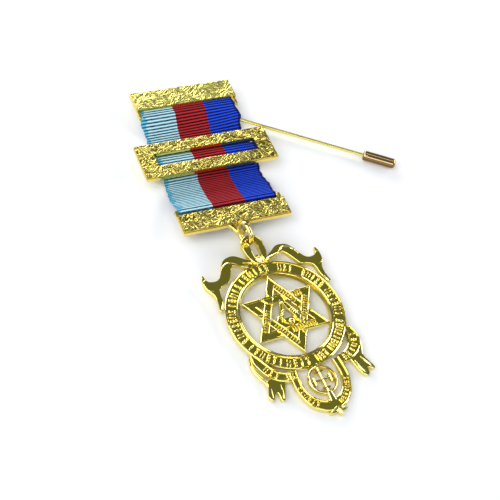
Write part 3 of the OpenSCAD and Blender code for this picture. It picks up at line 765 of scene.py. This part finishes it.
def sign_row(places, long, wide):
    """Studs of a row of signs at (x, y, turn), taken in order from the pattern."""
    return studs([part for i, (x, y, turn) in enumerate(places)
                  for part in sign(PATTERN[i % len(PATTERN)], x, y, turn, long, wide)])


RING_GROUPS = [(121, 87, 6), (72, 60, 3), (45, 22, 5), (12, -17, 6), (-26, -62, 8), (-69, -80, 3),
               (-92, -113, 4), (-121, -147, 5), (-154, -163, 2), (-170, -171, 1), (-177, -199, 5),
               (-206, -231, 5)]
mid_r = (HOLE_R + RING_R) / 2
ring_places = [(mid_r*np.cos(a), mid_r*np.sin(a), np.degrees(a))
               for start, stop, count in RING_GROUPS for a in np.radians(np.linspace(start, stop, count))]
ring_signs = sign_row(ring_places, 1.2, 0.74)
print("ring band carries", len(ring_places), "signs")

# %% [markdown]
# The star is two triangular frames. For a frame with equal sides, moving its outline inwards by
# a distance brings its corners in by twice as much, so the mitres come out by themselves. Each
# side dips under one neighbour and climbs over the next, as woven straps do.

# %% The woven star
STAR_R, STAR_W, STAR_RIM = HOLE_R - 0.75, 2.35, 0.4
WEAVE_UP, WEAVE_DOWN, WEAVE_HALF = 0.22, -0.3, 0.085
OVER_AT, UNDER_AT = 0.335, 0.665


def crossing(t, middle):
    """One where two straps cross, and close to nothing beyond the half width of the crossing."""
    return np.exp(-((t - middle) / WEAVE_HALF) ** 4)


def triangle_frame(turn):
    """Carries the strap's section round a triangle whose corners lie at twice the inset less, and
    lifts it by a bump where it goes over and a dip where it goes under."""
    z = CAST_T - 0.12
    # each row ends with how dull and painted-shaded it is: the foot and the field
    half = np.array([(0.1, 0, 1), (0, 0.14, 0)] + [(d, h, 0) for d, h in bead(z, STAR_RIM)]
                    + [(STAR_RIM + 0.05, z - 0.38, 1)])
    other = half[::-1] * [-1, 1, 1] + [STAR_W, 0, 0]
    inset, height, sunk = np.vstack([half, other]).T
    n = 60
    t = np.tile(np.linspace(0, 1, n, endpoint=False), 3)
    corner = np.radians(turn - 120*np.repeat(np.arange(3), n))
    lift = WEAVE_UP * crossing(t, OVER_AT) + WEAVE_DOWN * crossing(t, UNDER_AT)
    reach = STAR_R - 2 * inset[:, None]
    a, b = np.stack([np.cos(corner), np.sin(corner)], -1), np.stack(
        [np.cos(corner - 2*np.pi/3), np.sin(corner - 2*np.pi/3)], -1)
    xy = reach[..., None] * (a + (b - a) * t[:, None])
    rise = height[:, None] * (1 + lift / z)
    return skin(np.dstack([xy, rise]), wrap_rows=True, sunk=np.repeat(sunk[:, None], len(t), 1))


star = [triangle_frame(90), triangle_frame(-90)]

# %% Beads along the star's straps
# turn of the triangle, start and stop as side number plus the share of that side, count
STRAP_ROWS = [(90, 0.07, 0.47, 10), (90, 1.1, 1.5, 10), (90, 2.1, 2.47, 9), (-90, 0.06, 0.2, 4),
              (-90, 0.27, 0.5, 6), (-90, 1.62, 1.9, 7), (-90, 2.1, 2.5, 10)]


def strap_signs(turn, start, stop, count):
    """Small studs across a strap: side number plus the way along that side."""
    way = np.linspace(start, stop, count)
    side, t = np.floor(way), way % 1
    a, b = np.radians(turn - 120*side), np.radians(turn - 120*(side + 1))
    reach = STAR_R - STAR_W
    x = reach * (np.cos(a) + (np.cos(b) - np.cos(a)) * t)
    y = reach * (np.sin(a) + (np.sin(b) - np.sin(a)) * t)
    facing = np.degrees(np.arctan2(np.sin(b) - np.sin(a), np.cos(b) - np.cos(a))) + 90
    lift = WEAVE_UP * crossing(t, OVER_AT)
    return [(*p, 0.68, 0.24, CAST_T - 0.55 + up, 0.5) for *p, up in zip(x, y, facing, lift)]


star_signs = studs([row for rows in STRAP_ROWS for row in strap_signs(*rows)], steps=8, rings=4)

# %% [markdown]
# Inside the star stand open compasses over a small sun, on a low ground that closes the lower
# half of the gap. The ground is painted dull and shaded dark, and the lines on it catch the light.

# %% Compasses, sun and ground
# rows of x, y, half width
LEGS = [[(0.1, 3.7, 0.45), (-0.9, 1.3, 0.55), (-1.9, -1.1, 0.5)],
        [(0.8, 3.7, 0.5), (1.9, 1.0, 0.75), (2.9, -1.4, 0.6)]]
LINES = [[(-3.6, -1.6, 0.16), (-2.7, -0.6, 0.24), (-1.7, -0.9, 0.24), (-1.6, -2.0, 0.16)],
         [(-1.5, -1.7, 0.16), (-0.8, -2.7, 0.22), (0.6, -3.6, 0.16)],
         [(1.9, -1.2, 0.16), (2.5, -2.6, 0.22), (3.4, -3.3, 0.22), (4.3, -3.1, 0.14)]]
LINES += [[(1.3 + k, 0.9 - 1.1*k, 0.1), (2.5 + 0.8*k, 1.3 - 1.1*k, 0.1)] for k in (0, 0.45, 0.9, 1.35)]
LINES += [[(-1.3 - k, 0.3 - 2.1*k, 0.1), (-0.5 - k, 0.7 - 2.1*k, 0.1)] for k in (-0.3, 0, 0.3)]
# corners as x, y
GROUND = [(-2.3, -4.7), (2.3, -4.7), (4.5, -1.1), (-4.5, -1.1)]
dome = np.radians(np.linspace(0, 80, 7))
hinge = [(0.1, 0), (0.8, 0.0), (0.8, 1.5), (0.65, 1.7), (0.3, 1.78), (0.05, 1.8)]
half_sun = np.column_stack([0.95*np.cos(dome), 0.7 + 0.6*np.sin(dome)])
middle = [slab(rounded(GROUND, 0.2), bevelled(0.1, 0.8), 1.0), turned(hinge, 20, (0.4, 3.8, 0)),
          turned(half_sun, 24, (0.8, -2.4, 0))]
middle += [strip(rows, channel(CAST_T - 0.2, 0.2, 0.12), 4) for rows in LEGS]
middle += [strip(rows, crown(CAST_T - 0.1, 0.1, 0.1), 5) for rows in LINES]

# %% [markdown]
# The loop is a stirrup: a heavy strap bent over, deeper than it is wide. Fluted leaves gather
# at its foot and tie it to the bow.

# %% Loop and knot
LOOP_W = 6.6


def loop_half(a):
    """Half width at an angle round the arch: a little more to the right, and most at the left foot."""
    return 0.66 + 0.26*max(0, np.cos(a))**2 + 0.5*max(0, -np.cos(a))**12


loop_y = LOOP_TOP - LOOP_W/2
loop_rows = [(0.8, 17.0, 0.5), (1.75, 18.6, 0.7), (2.25, 20.4, 0.88)]
for a in np.radians(np.linspace(0, 180, 9)):
    bend = LOOP_W/2 - loop_half(a)
    loop_rows.append((bend*np.cos(a), loop_y + bend*np.sin(a), loop_half(a)))
loop_rows += [(-2.1, 21.6, 1.1), (-1.95, 20.2, 1.0), (-1.6, 18.7, 0.8), (-0.8, 17.0, 0.5)]
# leaves that gather at the loop's foot, as rows of x, y, half width, lift
KNOT = [
    [(0.1, 16.9, 0.42, -0.6), (0.1, 17.7, 0.56, -0.1), (0.15, 18.8, 0.56, 0.1), (0.2, 20.0, 0.42, -0.7)],
    [(0.85, 17.0, 0.36, -0.7), (1.0, 17.8, 0.48, -0.2), (1.05, 18.8, 0.46, 0), (0.9, 19.8, 0.34, -0.8)],
    [(-0.6, 16.9, 0.36, -0.7), (-0.8, 17.8, 0.48, -0.2), (-0.75, 18.8, 0.46, 0), (-0.5, 19.8, 0.34, -0.8)],
    [(0.9, 17.1, 0.3, 0), (2.4, 17.75, 0.46, 0), (4.6, 18.4, 0.36, 0), (6.4, 19.1, 0.12, 0)],
    [(-0.9, 17.1, 0.3, 0), (-2.4, 17.6, 0.46, 0), (-4.2, 18.1, 0.3, 0), (-5.2, 18.5, 0.12, 0)]]
loop = [strip(loop_rows, channel(CAST_T + 0.35, 0.24, 0.14), 4)]
loop += [strip(rows, crown(CAST_T + 0.4 - 0.06*i, 0.3, 0.2), 6) for i, rows in enumerate(KNOT)]

# %% [markdown]
# The bow is a long ribbon of metal. Its upper band arches over and curls up at the tip, with a
# bright turned edge on its crest, and its tail runs down beside the ring. Each half is one outline.

# %% Bow
# the right half's outline as x, y, and the points that the left arm has in place of its own
BOW = [(1.4, 17.2), (3.8, 17.9), (5.6, 18.5), (7.5, 19.15), (8.6, 18.2), (9.5, 16.9), (10.4, 15.3),
       (11.3, 13.9), (13.0, 13.4), (14.6, 12.6), (15.2, 11.1), (15.4, 9.0), (15.9, 7.4), (16.4, 6.1),
       (17.4, 6.1), (17.1, 7.5), (16.9, 9.3), (17.1, 11.2), (18.1, 12.9), (18.5, 14.6), (18.45, 16.5),
       (17.75, 17.9), (17.5, 16.4), (16.7, 15.4), (14.9, 15.1), (13.5, 15.8), (12.2, 17.7), (11.1, 19.9),
       (9.4, 21.3), (6.8, 21.5), (4.3, 19.8), (1.6, 18.0)]
LEFT_ARM = {1: (3.8, 16.6), 2: (5.6, 17.3), 3: (7.3, 18.6)}
# rows of x, y, half width
TAIL_CREASES = [[(17.3, 16.5, 0.08), (18.2, 15.9, 0.16)],
                [(16.6, 12.2, 0.08), (17.5, 12.4, 0.16), (18.0, 13.0, 0.08)],
                [(15.7, 8.4, 0.1), (16.3, 7.2, 0.28), (16.8, 6.2, 0.3)]]
RIGHT_CREASE = [(6.6, 19.3, 0.12), (8.1, 20.2, 0.34), (9.6, 20.2, 0.4), (11.0, 19.0, 0.3), (12.1, 17.0, 0.1)]
LEFT_CREASE = [(11.8, 18.5, 0.1), (10.6, 19.3, 0.24), (9.2, 19.6, 0.3), (7.6, 18.95, 0.2),
               (6.0, 17.8, 0.14), (4.2, 17.1, 0.1)]


def as_drawn(rows):
    """Rows as they are, for the right half."""
    return rows


def mirror(rows):
    """Rows turned over for the left half: each x changes its sign."""
    return [(-row[0], *row[1:]) for row in rows]


def bow_half(flip, way, arm, crease):
    """One half: the outline, with a few points of its own, and its creases. Its flat top is painted
    dull and shaded. A way of -1 turns the mirrored outline counterclockwise again."""
    rows = [arm.get(i, point) for i, point in enumerate(BOW)]
    outline = smooth_rows(np.array(flip(rows))[::way], 4, closed=True)
    return [slab(outline, bevelled(0, CAST_T, 0.1), 1.0)] + [
        strip(flip(line), crown(CAST_T + 0.08, 0.14, 0.12), 6) for line in [crease] + TAIL_CREASES]


bow = bow_half(as_drawn, 1, {}, RIGHT_CREASE) + bow_half(mirror, -1, LEFT_ARM, LEFT_CREASE)

# %% [markdown]
# Below the ring, two short scrolls with rims run in to the bottom band, each over a forked tail.

# %% Scrolls and forked tails
SCROLL_X = 0.5
# scroll, strap and flutes are rows of x, y, half width; the fork's outline is x, y
RIGHT = dict(
    scroll=[(14.1, -8.8, 0.7), (14.5, -10.4, 1.3), (14.5, -12.4, 1.7), (13.5, -14.8, 1.75),
            (11.6, -16.3, 1.6), (9.7, -17.1, 1.4), (7.6, -17.2, 1.3)],
    strap=[(14.6, -9.3, 0.5), (15.7, -11.8, 0.5), (15.6, -14.2, 0.55), (14.4, -16.8, 0.9),
           (13.2, -18.4, 1.1)],
    fork=[(10.4, -16.4), (10.9, -19.4), (11.3, -21.4), (11.9, -22.9), (12.8, -23.9), (13.8, -23.7),
          (14.0, -22.8), (14.2, -21.9), (15.0, -22.3), (15.7, -22.8), (16.2, -22.3), (15.6, -20.7),
          (14.9, -19.0), (14.3, -17.4)],
    flutes=[[(13.5, -18.4, 0.12), (14.5, -20.2, 0.38), (15.6, -22.3, 0.28)],
            [(11.5, -19.0, 0.12), (12.1, -21.4, 0.38), (13.1, -23.4, 0.3)]])
LEFT = dict(
    scroll=[(15.0, -9.0, 0.6), (14.5, -11.2, 1.2), (13.4, -13.6, 1.4), (12.3, -15.3, 1.4),
            (10.6, -16.8, 1.35), (8.3, -17.7, 1.3), (6.2, -17.8, 1.2)],
    strap=[(15.8, -9.3, 0.25), (16.3, -12.4, 0.36), (15.7, -14.8, 0.4), (14.6, -17.0, 0.45),
           (14.0, -18.8, 0.5)],
    fork=[(9.3, -16.6), (9.8, -18.9), (10.6, -20.6), (11.3, -22.3), (12.0, -23.3), (12.7, -23.1),
          (12.7, -21.8), (12.9, -20.8), (13.6, -21.2), (14.2, -22.0), (15.0, -22.3), (15.6, -21.4),
          (15.1, -19.8), (14.5, -18.4), (14.0, -16.8)],
    flutes=[[(14.0, -18.8, 0.1), (14.4, -20.2, 0.2), (14.8, -21.8, 0.3)],
            [(11.2, -18.9, 0.1), (11.5, -21.0, 0.2), (12.2, -22.8, 0.3)]])


def along(rows, start, stop, count, steps=12):
    """Places and facings at even steps along a smooth line, from one share of it to another."""
    path = smooth_rows(rows, steps)[:, :2]
    run = np.concatenate([[0], np.cumsum(np.linalg.norm(np.diff(path, axis=0), axis=1))])
    want = np.linspace(start, stop, count) * run[-1]
    x, y = (np.interp(want, run, path[:, k]) for k in (0, 1))
    slope = np.gradient(path, axis=0)
    facing = np.degrees(np.arctan2(*(np.interp(want, run, slope[:, k]) for k in (1, 0)))) + 90
    return list(zip(x, y, facing))


scrolls = []
# the forks' flat tops are painted dull and shaded, a little less than the bow's
for sizes, flip, way in ((RIGHT, as_drawn, 1), (LEFT, mirror, -1)):
    outline = smooth_rows(np.array(flip(sizes["fork"]))[::way], 4, closed=True)
    scrolls += [strip(flip(sizes["scroll"]), channel(CAST_T, 0.42), 7),
                strip(flip(sizes["strap"]), crown(1.0, 0.1), 6),
                slab(outline, bevelled(0, CAST_T - 0.35, 0.12), 0.9)]
    scrolls += [strip(flip(rows), crown(CAST_T - 0.25, 0.16, 0.14), 5) for rows in sizes["flutes"]]
scroll_places = along(RIGHT["scroll"], 0.22, 0.86, 6)
scroll_places += along(mirror(LEFT["scroll"]), 0.38, 0.62, 3) + along(mirror(LEFT["scroll"]), 0.84, 0.93, 2)

# %% Bottom band with its small ring and tie
DROP, SHIELD_W, SHIELD_BAND, SMALL_R = 30.2, 16.0, 2.2, 4.2
shield_mid = -1.19 * RING_R


def shield_at(angle):
    """A row of the bottom band: an ellipse whose band widens towards its foot."""
    a = np.radians(angle)
    half = SHIELD_BAND/2 + 0.4*np.sin(a)**2
    return ((SHIELD_W - SHIELD_BAND)/2*np.cos(a), shield_mid + (DROP + shield_mid - half)*np.sin(a), half)


side_x, band_top = shield_at(0)[0] - 0.3, -0.97 * RING_R
shield_rows = [(side_x, band_top, SHIELD_BAND/2)] + [shield_at(a) for a in range(0, -181, -15)]
shield_rows += [(-side_x, band_top, SHIELD_BAND/2)]
SMALL_X, STEM_FOOT = 0.3, -27.6
small_y = -RING_R - SMALL_R + 0.05
small_profile = [(SMALL_R - 0.7, 0.1), (SMALL_R - 0.6, 0), (SMALL_R - 0.1, 0), (SMALL_R, 0.1),
                 (SMALL_R, 1.2), (SMALL_R - 0.08, 1.42), (SMALL_R - 0.22, 1.57), (SMALL_R - 0.38, 1.62),
                 (SMALL_R - 0.54, 1.57), (SMALL_R - 0.65, 1.42), (SMALL_R - 0.7, 1.2)]
foot = [strip(shield_rows, channel(CAST_T, 0.42), 5),
        turned(small_profile, 56, (SMALL_X, small_y, 0), wrap_profile=True),
        strip([(SMALL_X, small_y - SMALL_R + 0.5, 0.7), (SMALL_X, STEM_FOOT, 0.95)], crown(CAST_T, 0.1), 4)]
shield_places = along(shield_rows, 0.2, 0.42, 7) + along(shield_rows, 0.64, 0.84, 6)

# %% [markdown]
# The cross in the small ring is plain, with barred ends. The tie under the band is two leaves
# and a short tail.

# %% Cross and tie
CROSS_LINE, CROSS_BAR, BAR_OUT = 0.27, 1.1, 2.4
spot = np.array([SMALL_X, small_y])
for a in np.radians([0, 90, 180, 270]):
    spoke, side = np.array([np.cos(a), np.sin(a)]), np.array([-np.sin(a), np.cos(a)])
    arm = [(*(spot + spoke*r), CROSS_LINE) for r in (0.1, SMALL_R - 0.5)]
    cross_bar = [(*(spot + spoke*BAR_OUT + side*v), CROSS_LINE) for v in (-CROSS_BAR, CROSS_BAR)]
    foot += [strip(arm, crown(CAST_T - 0.25, 0.1, 0.1), 4),
             strip(cross_bar, crown(CAST_T - 0.2, 0.1, 0.1), 4)]
tie_at = (0.4, -DROP)
# rows of x, y, half width
tie = [[(0, 0.4, 0.6), (1.3, -0.2, 0.55), (2.6, -0.3, 0.2)],
       [(0, 0.5, 0.4), (0.9, 0.15, 0.4), (1.9, 0.35, 0.15)],
       [(0, 0.4, 0.5), (0.3, -0.8, 0.45), (0.5, -1.75, 0.12)]]
tie += [mirror(tie[0]), mirror(tie[1])]
foot += [strip([(x + tie_at[0], y + tie_at[1], w) for x, y, w in rows], crown(1.3 + 0.08*i, 0.22, 0.12), 5)
         for i, rows in enumerate(tie)]
lower = [moved(p, lambda q: q + [SCROLL_X, 0, 0])
         for p in scrolls + foot + [sign_row(scroll_places, 0.95, 0.66), sign_row(shield_places, 0.72, 0.6)]]
make("pendant_cast", hang([ring_band, ring_signs] + star + [star_signs] + middle + loop + bow + lower),
     CAST_GILT, "pendant")

# %% [markdown]
# ## The ribbon
#
# Corded silk: fine warp threads are packed over thick weft cords, so the face is a row of round
# ribs with sharp grooves between them. The ribbon goes over the top rail, down to the table,
# up over the strap behind the window, and over the lower rail. It is one sheet with a length:
# a line in the side view that is walked at even steps, with the ribs raised off it.

# %% The ribbon's line
RIBBON_W, RIBBON_T, GAP = 31.3, 0.4, 0.06
top_rail = TOP["y"] - TOP_H/2 - SLOT_H - RAIL_D/2
low_rail = LOW["y"] + LOW_H/2 + SLOT_H + RAIL_D/2
crest = RAIL_Z + RAIL_D/2 + GAP
tuck = FACE - PLATE_T - RIBBON_T - GAP
over = strap_top + GAP
lift = PIN_Z + PIN_R + 0.12
tx, lx, sx, sy = TOP["x"], LOW["x"], SLIDE_AT[0], SLIDE_AT[1]
to_tuck, half_slide, half_window = SLOT_H + RAIL_D/2, SLIDE_H/2, WINDOW_H/2 + 0.2
LINE = [
    # y, underside at the left edge, underside at the right edge, x of the middle, slope
    (top_rail + to_tuck + 5, tuck, tuck, tx, 0.8),
    (top_rail + to_tuck + 1, tuck, tuck, tx, 0.8),
    (top_rail + to_tuck - 0.6, tuck + 0.03, tuck + 0.03, tx, 0.8),
    (top_rail + 0.5, crest - 0.03, crest - 0.03, tx, 0.8),
    (top_rail, crest, crest, tx, 0.8),
    (top_rail - 0.5, crest - 0.08, crest - 0.06, tx, 0.8),
    (top_rail - 1.6, crest - 0.6, crest - 0.3, tx - 0.1, 0.8),
    (top_rail - 4.4, 1.1, lift + 0.35, tx - 0.3, 0.64),
    (top_rail - 6.6, 0.35, lift - 0.5, tx - 0.45, 0.48),
    (top_rail - 8.6, 0.04, 0.35, tx - 0.55, 0.32),
    (sy + half_slide + 1.4, 0.15, 0.2, tx - 0.65, 0.1),
    (sy + STRAP_HALF + 2.6, 1.1, 1.1, sx + 0.7, 0),
    (sy + half_window, over + 0.1, over + 0.1, sx + 0.8, 0),
    (sy + 1.5, over + 0.75, over + 0.75, sx + 0.8, 0),
    (sy, over + 0.95, over + 0.95, sx + 0.8, 0),
    (sy - 1.5, over + 0.75, over + 0.75, sx + 0.8, 0),
    (sy - half_window, over + 0.1, over + 0.1, sx + 0.75, 0),
    (sy - STRAP_HALF - 2.8, 1, 1, sx + 0.5, 0),
    (sy - half_slide - 0.4, 0.1, 0.1, sx + 0.2, 0),
    (sy - half_slide - 2.6, 0.3, 0.3, sx, -0.18),
    (low_rail + 8, 0.9, 0.9, lx + 0.35, -0.3),
    (low_rail + 4, 2, 2, lx + 0.1, -0.48),
    (low_rail + 1.4, crest - 0.45, crest - 0.45, lx, -0.6),
    (low_rail + 0.5, crest - 0.06, crest - 0.06, lx, -0.6),
    (low_rail, crest, crest, lx, -0.6),
    (low_rail - 0.5, crest - 0.18, crest - 0.18, lx, -0.6),
    (low_rail - 1.3, crest - 1.0, crest - 1.0, lx, -0.6),
    (low_rail - 1.9, crest - 1.1, crest - 1.1, lx, -0.6),
    (low_rail - to_tuck - 1, tuck, tuck, lx, -0.6),
    (low_rail - to_tuck - 3.6, tuck, tuck, lx, -0.6)]
line = smooth_rows(LINE, 24)
run = np.concatenate([[0], np.cumsum(np.hypot(np.diff(line[:, 0]), np.diff(line[:, 1:3].mean(1))))])
RIBBON_LEN = run[-1]
print("the ribbon is", round(RIBBON_LEN, 1), "mm long")

# %% [markdown]
# Ribs are counted along the line. The count runs faster past the slide bar, where the cords are
# finer. Across a rib the height is a parabola: round on top, sharp in the groove. A small wobble
# keeps the ribs from running dead straight, and a frill makes the woven edge uneven.

# %% The ribbed sheet
# where an edge of the cloth bulges along the jewel: y, how far, how long
LEFT_BULGES = [(77, 1.0, 2.6), (70.5, 0.3, 1.6), (sy, 0.8, 2.4), (47.5, 0.4, 2.5)]
RIGHT_BULGES = [(74.6, 0.9, 1.7), (sy, 0.45, 2.4), (46, 0.5, 2)]


def bulge(rows, y):
    """How far an edge stands out at places along the jewel: a sum of bell curves."""
    return sum(far * np.exp(-((y - middle_y) / long) ** 2) for middle_y, far, long in rows)


COARSE, FINE_RIB, RIB_H, EDGE_W, COLUMNS = 0.95, 0.82, 0.22, 0.9, 81
per_rib = 8
way = np.arange(0, RIBBON_LEN, FINE_RIB / per_rib)
mid_y, left_z, right_z, mid_x, turn = (np.interp(way, run, column)[:, None] for column in line.T)
pitch = np.where(mid_y[:, 0] > sy - half_slide, COARSE, FINE_RIB)
ribs = np.cumsum(np.gradient(way) / pitch)
U, WAY = np.meshgrid(np.linspace(0, 1, COLUMNS), way)
wobble = 0.03*np.sin(2*np.pi*(U*1.3 + WAY*0.05)) + 0.015*np.sin(2*np.pi*(U*9.1 + WAY*0.07))
phase = (ribs[:, None] + wobble) % 1
rib = 1 - (2*phase - 1)**2
selvedge = np.clip(np.minimum(U, 1 - U) * RIBBON_W / EDGE_W, 0, 1)
frill = 0.12*np.sin(2*np.pi*ribs*0.31) + 0.05*np.sin(2*np.pi*ribs + 1)
slope = np.radians(turn)
reach_x = (U - 0.5)*RIBBON_W + (1 - selvedge)*np.sign(U - 0.5)*frill[:, None]
# the high powers move only the cloth next to each edge
reach_x += bulge(RIGHT_BULGES, mid_y) * U**8 - bulge(LEFT_BULGES, mid_y) * (1 - U)**8
X, Y = mid_x + reach_x*np.cos(slope), mid_y + reach_x*np.sin(slope)
Z = left_z + (right_z - left_z)*U**3
dY, dZ = np.gradient(Y, axis=0), np.gradient(Z, axis=0)
size = np.hypot(dY, dZ)
up_y, up_z = dZ/size, -dY/size
thick = (RIBBON_T - RIB_H + RIB_H*rib) * (0.45 + 0.55*selvedge)
under = np.dstack([X, Y, Z])
over_face = under + np.dstack([np.zeros_like(X), up_y*thick, up_z*thick])
sheet_points = np.concatenate([under, over_face[:, ::-1]], axis=1)
# painted shade: where the cloth dives into the lower bar's slot, in the grooves, and on the whole underside
slot_shade = 0.35 * np.clip((low_rail - 0.2 - mid_y) / 0.5, 0, 1)
sheet_shade = np.concatenate([1 - 0*rib, (1 - rib + slot_shade)[:, ::-1]], axis=1)
sheet_skin = skin(sheet_points, sunk=sheet_shade)

# %% [markdown]
# The silk's colours are woven stripes, so they follow the sheet: its own UV map says how far
# across and how many ribs along a point is. The grooves are painted darker and more saturated:
# painted shade, and painted light bounced from thread to thread. The same painted shade lies on
# the cloth's underside and where it dives into the lower bar's slot. Warp threads are a fine bump
# along the ribbon.

# %% Silk
THREADS = 210.0
# where each stripe starts across the ribbon, and its colour: on the ribs, and painted shade in the grooves
STRIPES = ((0.0, (0.16, 0.56, 0.80)), (0.03, (0.56, 0.90, 1.0)), (0.333, (0.50, 0.028, 0.038)),
           (0.667, (0.02, 0.085, 0.80)), (0.972, (0.004, 0.02, 0.26)))
SHADED_GROOVE_COLOURS = ((0.0, (0.01, 0.14, 0.26)), (0.03, (0.012, 0.05, 0.10)), (0.333, (0.035, 0.0, 0.0005)),
        (0.667, (0.0003, 0.001, 0.07)), (0.972, (0.0005, 0.002, 0.05)))


def stripe_ramp(tree, across, stops):
    """A colour ramp with hard steps across the sheet."""
    ramp = add(tree, "ShaderNodeValToRGB", {0: across})
    ramp.color_ramp.interpolation = "CONSTANT"
    for i, (place, colour) in enumerate(stops):
        stop = ramp.color_ramp.elements[i] if i < 2 else ramp.color_ramp.elements.new(place)
        stop.position, stop.color = place, (*colour, 1)
    return ramp.outputs[0]


silk, tree, shader = new_material("ribbon_silk", 0.0, Sheen_Weight=0.02, Sheen_Roughness=0.4,
                                  Specular_IOR_Level=0.1)
uv = add(tree, "ShaderNodeUVMap", uv_map="cloth").outputs[0]
split = add(tree, "ShaderNodeSeparateXYZ", {0: uv})
groove_shade = add(tree, "ShaderNodeAttribute", attribute_name="sunk").outputs["Fac"]
counted = add(tree, "ShaderNodeMath", {0: split.outputs[0], 1: THREADS}, operation="MULTIPLY").outputs[0]
threads = add(tree, "ShaderNodeMath", {0: counted, 1: 0.5}, operation="PINGPONG").outputs[0]
mottle = add(tree, "ShaderNodeTexNoise", {"Vector": uv, "Scale": 26.0, "Detail": 3.0}).outputs[0]
groove_darkening = blend_range(tree, groove_shade, 0.04, 0.42, 0, 1)
deep = add(tree, "ShaderNodeMath", {0: groove_darkening, 1: blend_range(tree, mottle, 0.3, 0.7, 0.8, 1.1)},
           operation="MULTIPLY", use_clamp=True).outputs[0]
ragged = add(tree, "ShaderNodeTexNoise", {"Vector": uv, "Scale": 6.0, "Detail": 2.0}).outputs[0]
drift = add(tree, "ShaderNodeMath", {0: blend_range(tree, ragged, 0.35, 0.65, 0.025, -0.025),
                                     1: blend_range(tree, split.outputs[0], 0.05, 0.12, 1, 0)},
            operation="MULTIPLY").outputs[0]
across = add(tree, "ShaderNodeMath", {0: split.outputs[0], 1: drift}, operation="ADD").outputs[0]
colour = mix_colour(tree, deep, stripe_ramp(tree, across, STRIPES), stripe_ramp(tree, across, SHADED_GROOVE_COLOURS))
tree.links.new(colour, shader.inputs["Base Color"])
tree.links.new(blend_range(tree, groove_shade, 0, 1, 0.42, 0.7), shader.inputs["Roughness"])
bump = add(tree, "ShaderNodeBump", {"Strength": 0.35, "Distance": 0.00004, "Height": threads})
tree.links.new(bump.outputs[0], shader.inputs["Normal"])

ribbon = make("silk_ribbon", [sheet_skin], silk, "ribbon", crease=60)
cols = sheet_points.shape[1]
ribs_along = np.repeat(ribs[:, None], cols, 1) / 20
uv_points = np.dstack([np.concatenate([U, U[:, ::-1]], 1), ribs_along]).reshape(-1, 2)
corner = np.zeros(len(ribbon.data.loops), int)
ribbon.data.loops.foreach_get("vertex_index", corner)
ribbon.data.uv_layers.new(name="cloth").data.foreach_set("uv", uv_points[corner].astype(np.float32).ravel())

# %% [markdown]
# ## Table, light and camera
#
# Gold is only as good as what it mirrors. The room is dim, so flat metal seen from the camera
# looks olive, and large soft boxes stand where the rims and leaves will find them. A narrow box
# nearly overhead draws a line along the clutch. The table is lit until it is nearly white, and its
# glow fills the upright sides of the bars.

# %% Table
floor_mesh = bpy.data.meshes.new("table")
reach = 1.6
floor_mesh.from_pydata([(-reach, -reach, 0), (reach, -reach, 0), (reach, reach, 0), (-reach, reach, 0)],
                       [], [(0, 1, 2, 3)])
table = bpy.data.objects.new("table", floor_mesh)
bpy.context.collection.objects.link(table)
white = new_material("table_white", 0.0, Base_Color=(0.93, 0.93, 0.94, 1), Roughness=0.7,
                     Specular_IOR_Level=0.2)[0]
floor_mesh.materials.append(white)

# %% Camera
# degrees round the jewel, up and of roll; then millimetres from its aim, and the lens
AZIMUTH, ELEVATION, ROLL, AWAY, FOCAL = -37.016, 51.826, 18.188, 242.948, 61.96
AIM = np.array([-1.837, 22.029, FACE])
az, el, roll = np.radians([AZIMUTH, ELEVATION, ROLL])
back = np.array([np.sin(az)*np.cos(el), -np.cos(az)*np.cos(el), np.sin(el)])
level = np.array([np.cos(az), np.sin(az), 0.0])
above = np.cross(back, level)
right = np.cos(roll)*level + np.sin(roll)*above
up = -np.sin(roll)*level + np.cos(roll)*above
eye = to_frame(AIM + back*AWAY)
camera = bpy.data.objects.new("camera", bpy.data.cameras.new("camera"))
bpy.context.collection.objects.link(camera)
camera.matrix_world = Matrix([[*r, e] for r, e in zip(np.column_stack([right, up, back]), eye)]
                             + [[0, 0, 0, 1]])
camera.data.sensor_width, camera.data.lens = 36.0, FOCAL
camera.data.clip_start, camera.data.clip_end = 0.01, 10.0
bpy.context.scene.camera = camera
print("camera at", eye.round(4))


# %% Lights
def softbox(name, azimuth, elevation, away, width, height, power, tint):
    """A soft box that faces the jewel, from a direction given as for the camera, in metres and watts."""
    a, e = np.radians([azimuth, elevation])
    out = np.array([np.sin(a)*np.cos(e), -np.cos(a)*np.cos(e), np.sin(e)])
    side = np.array([np.cos(a), np.sin(a), 0.0])
    data = bpy.data.lights.new(name, "AREA")
    data.shape, data.size, data.size_y, data.energy, data.color = "RECTANGLE", width, height, power, tint
    lamp = bpy.data.objects.new(name, data)
    bpy.context.collection.objects.link(lamp)
    columns = np.column_stack([side, np.cross(out, side), out])
    lamp.matrix_world = Matrix([[*r, e] for r, e in zip(columns, out*away)] + [[0, 0, 0, 1]])
    return lamp


BOXES = [
    # name, azimuth, elevation, away, width, height, power, tint
    ("far_box", 190, 20, 1.0, 1.2, 0.35, 7.5, (1, 1, 1)),
    ("top_box", 155, 79, 1.0, 1.0, 0.12, 0.7, (1, 1, 1)),
    ("right_box", 85, 25, 0.9, 0.9, 0.4, 4.4, (1, 1, 1)),
    ("left_box", 275, 42, 0.9, 0.9, 0.9, 7.2, (0.94, 0.97, 1)),
    ("front_box", -20, 30, 1.0, 1.0, 0.5, 2.6, (0.9, 0.95, 1))]
for row in BOXES:
    softbox(*row)
world = bpy.data.worlds.new("studio")
world.use_nodes = True
room = world.node_tree.nodes["Background"].inputs
room["Color"].default_value, room["Strength"].default_value = (0.9, 0.95, 1.0, 1), 0.17
bpy.context.scene.world = world
bpy.context.scene.view_settings.view_transform = "Standard"
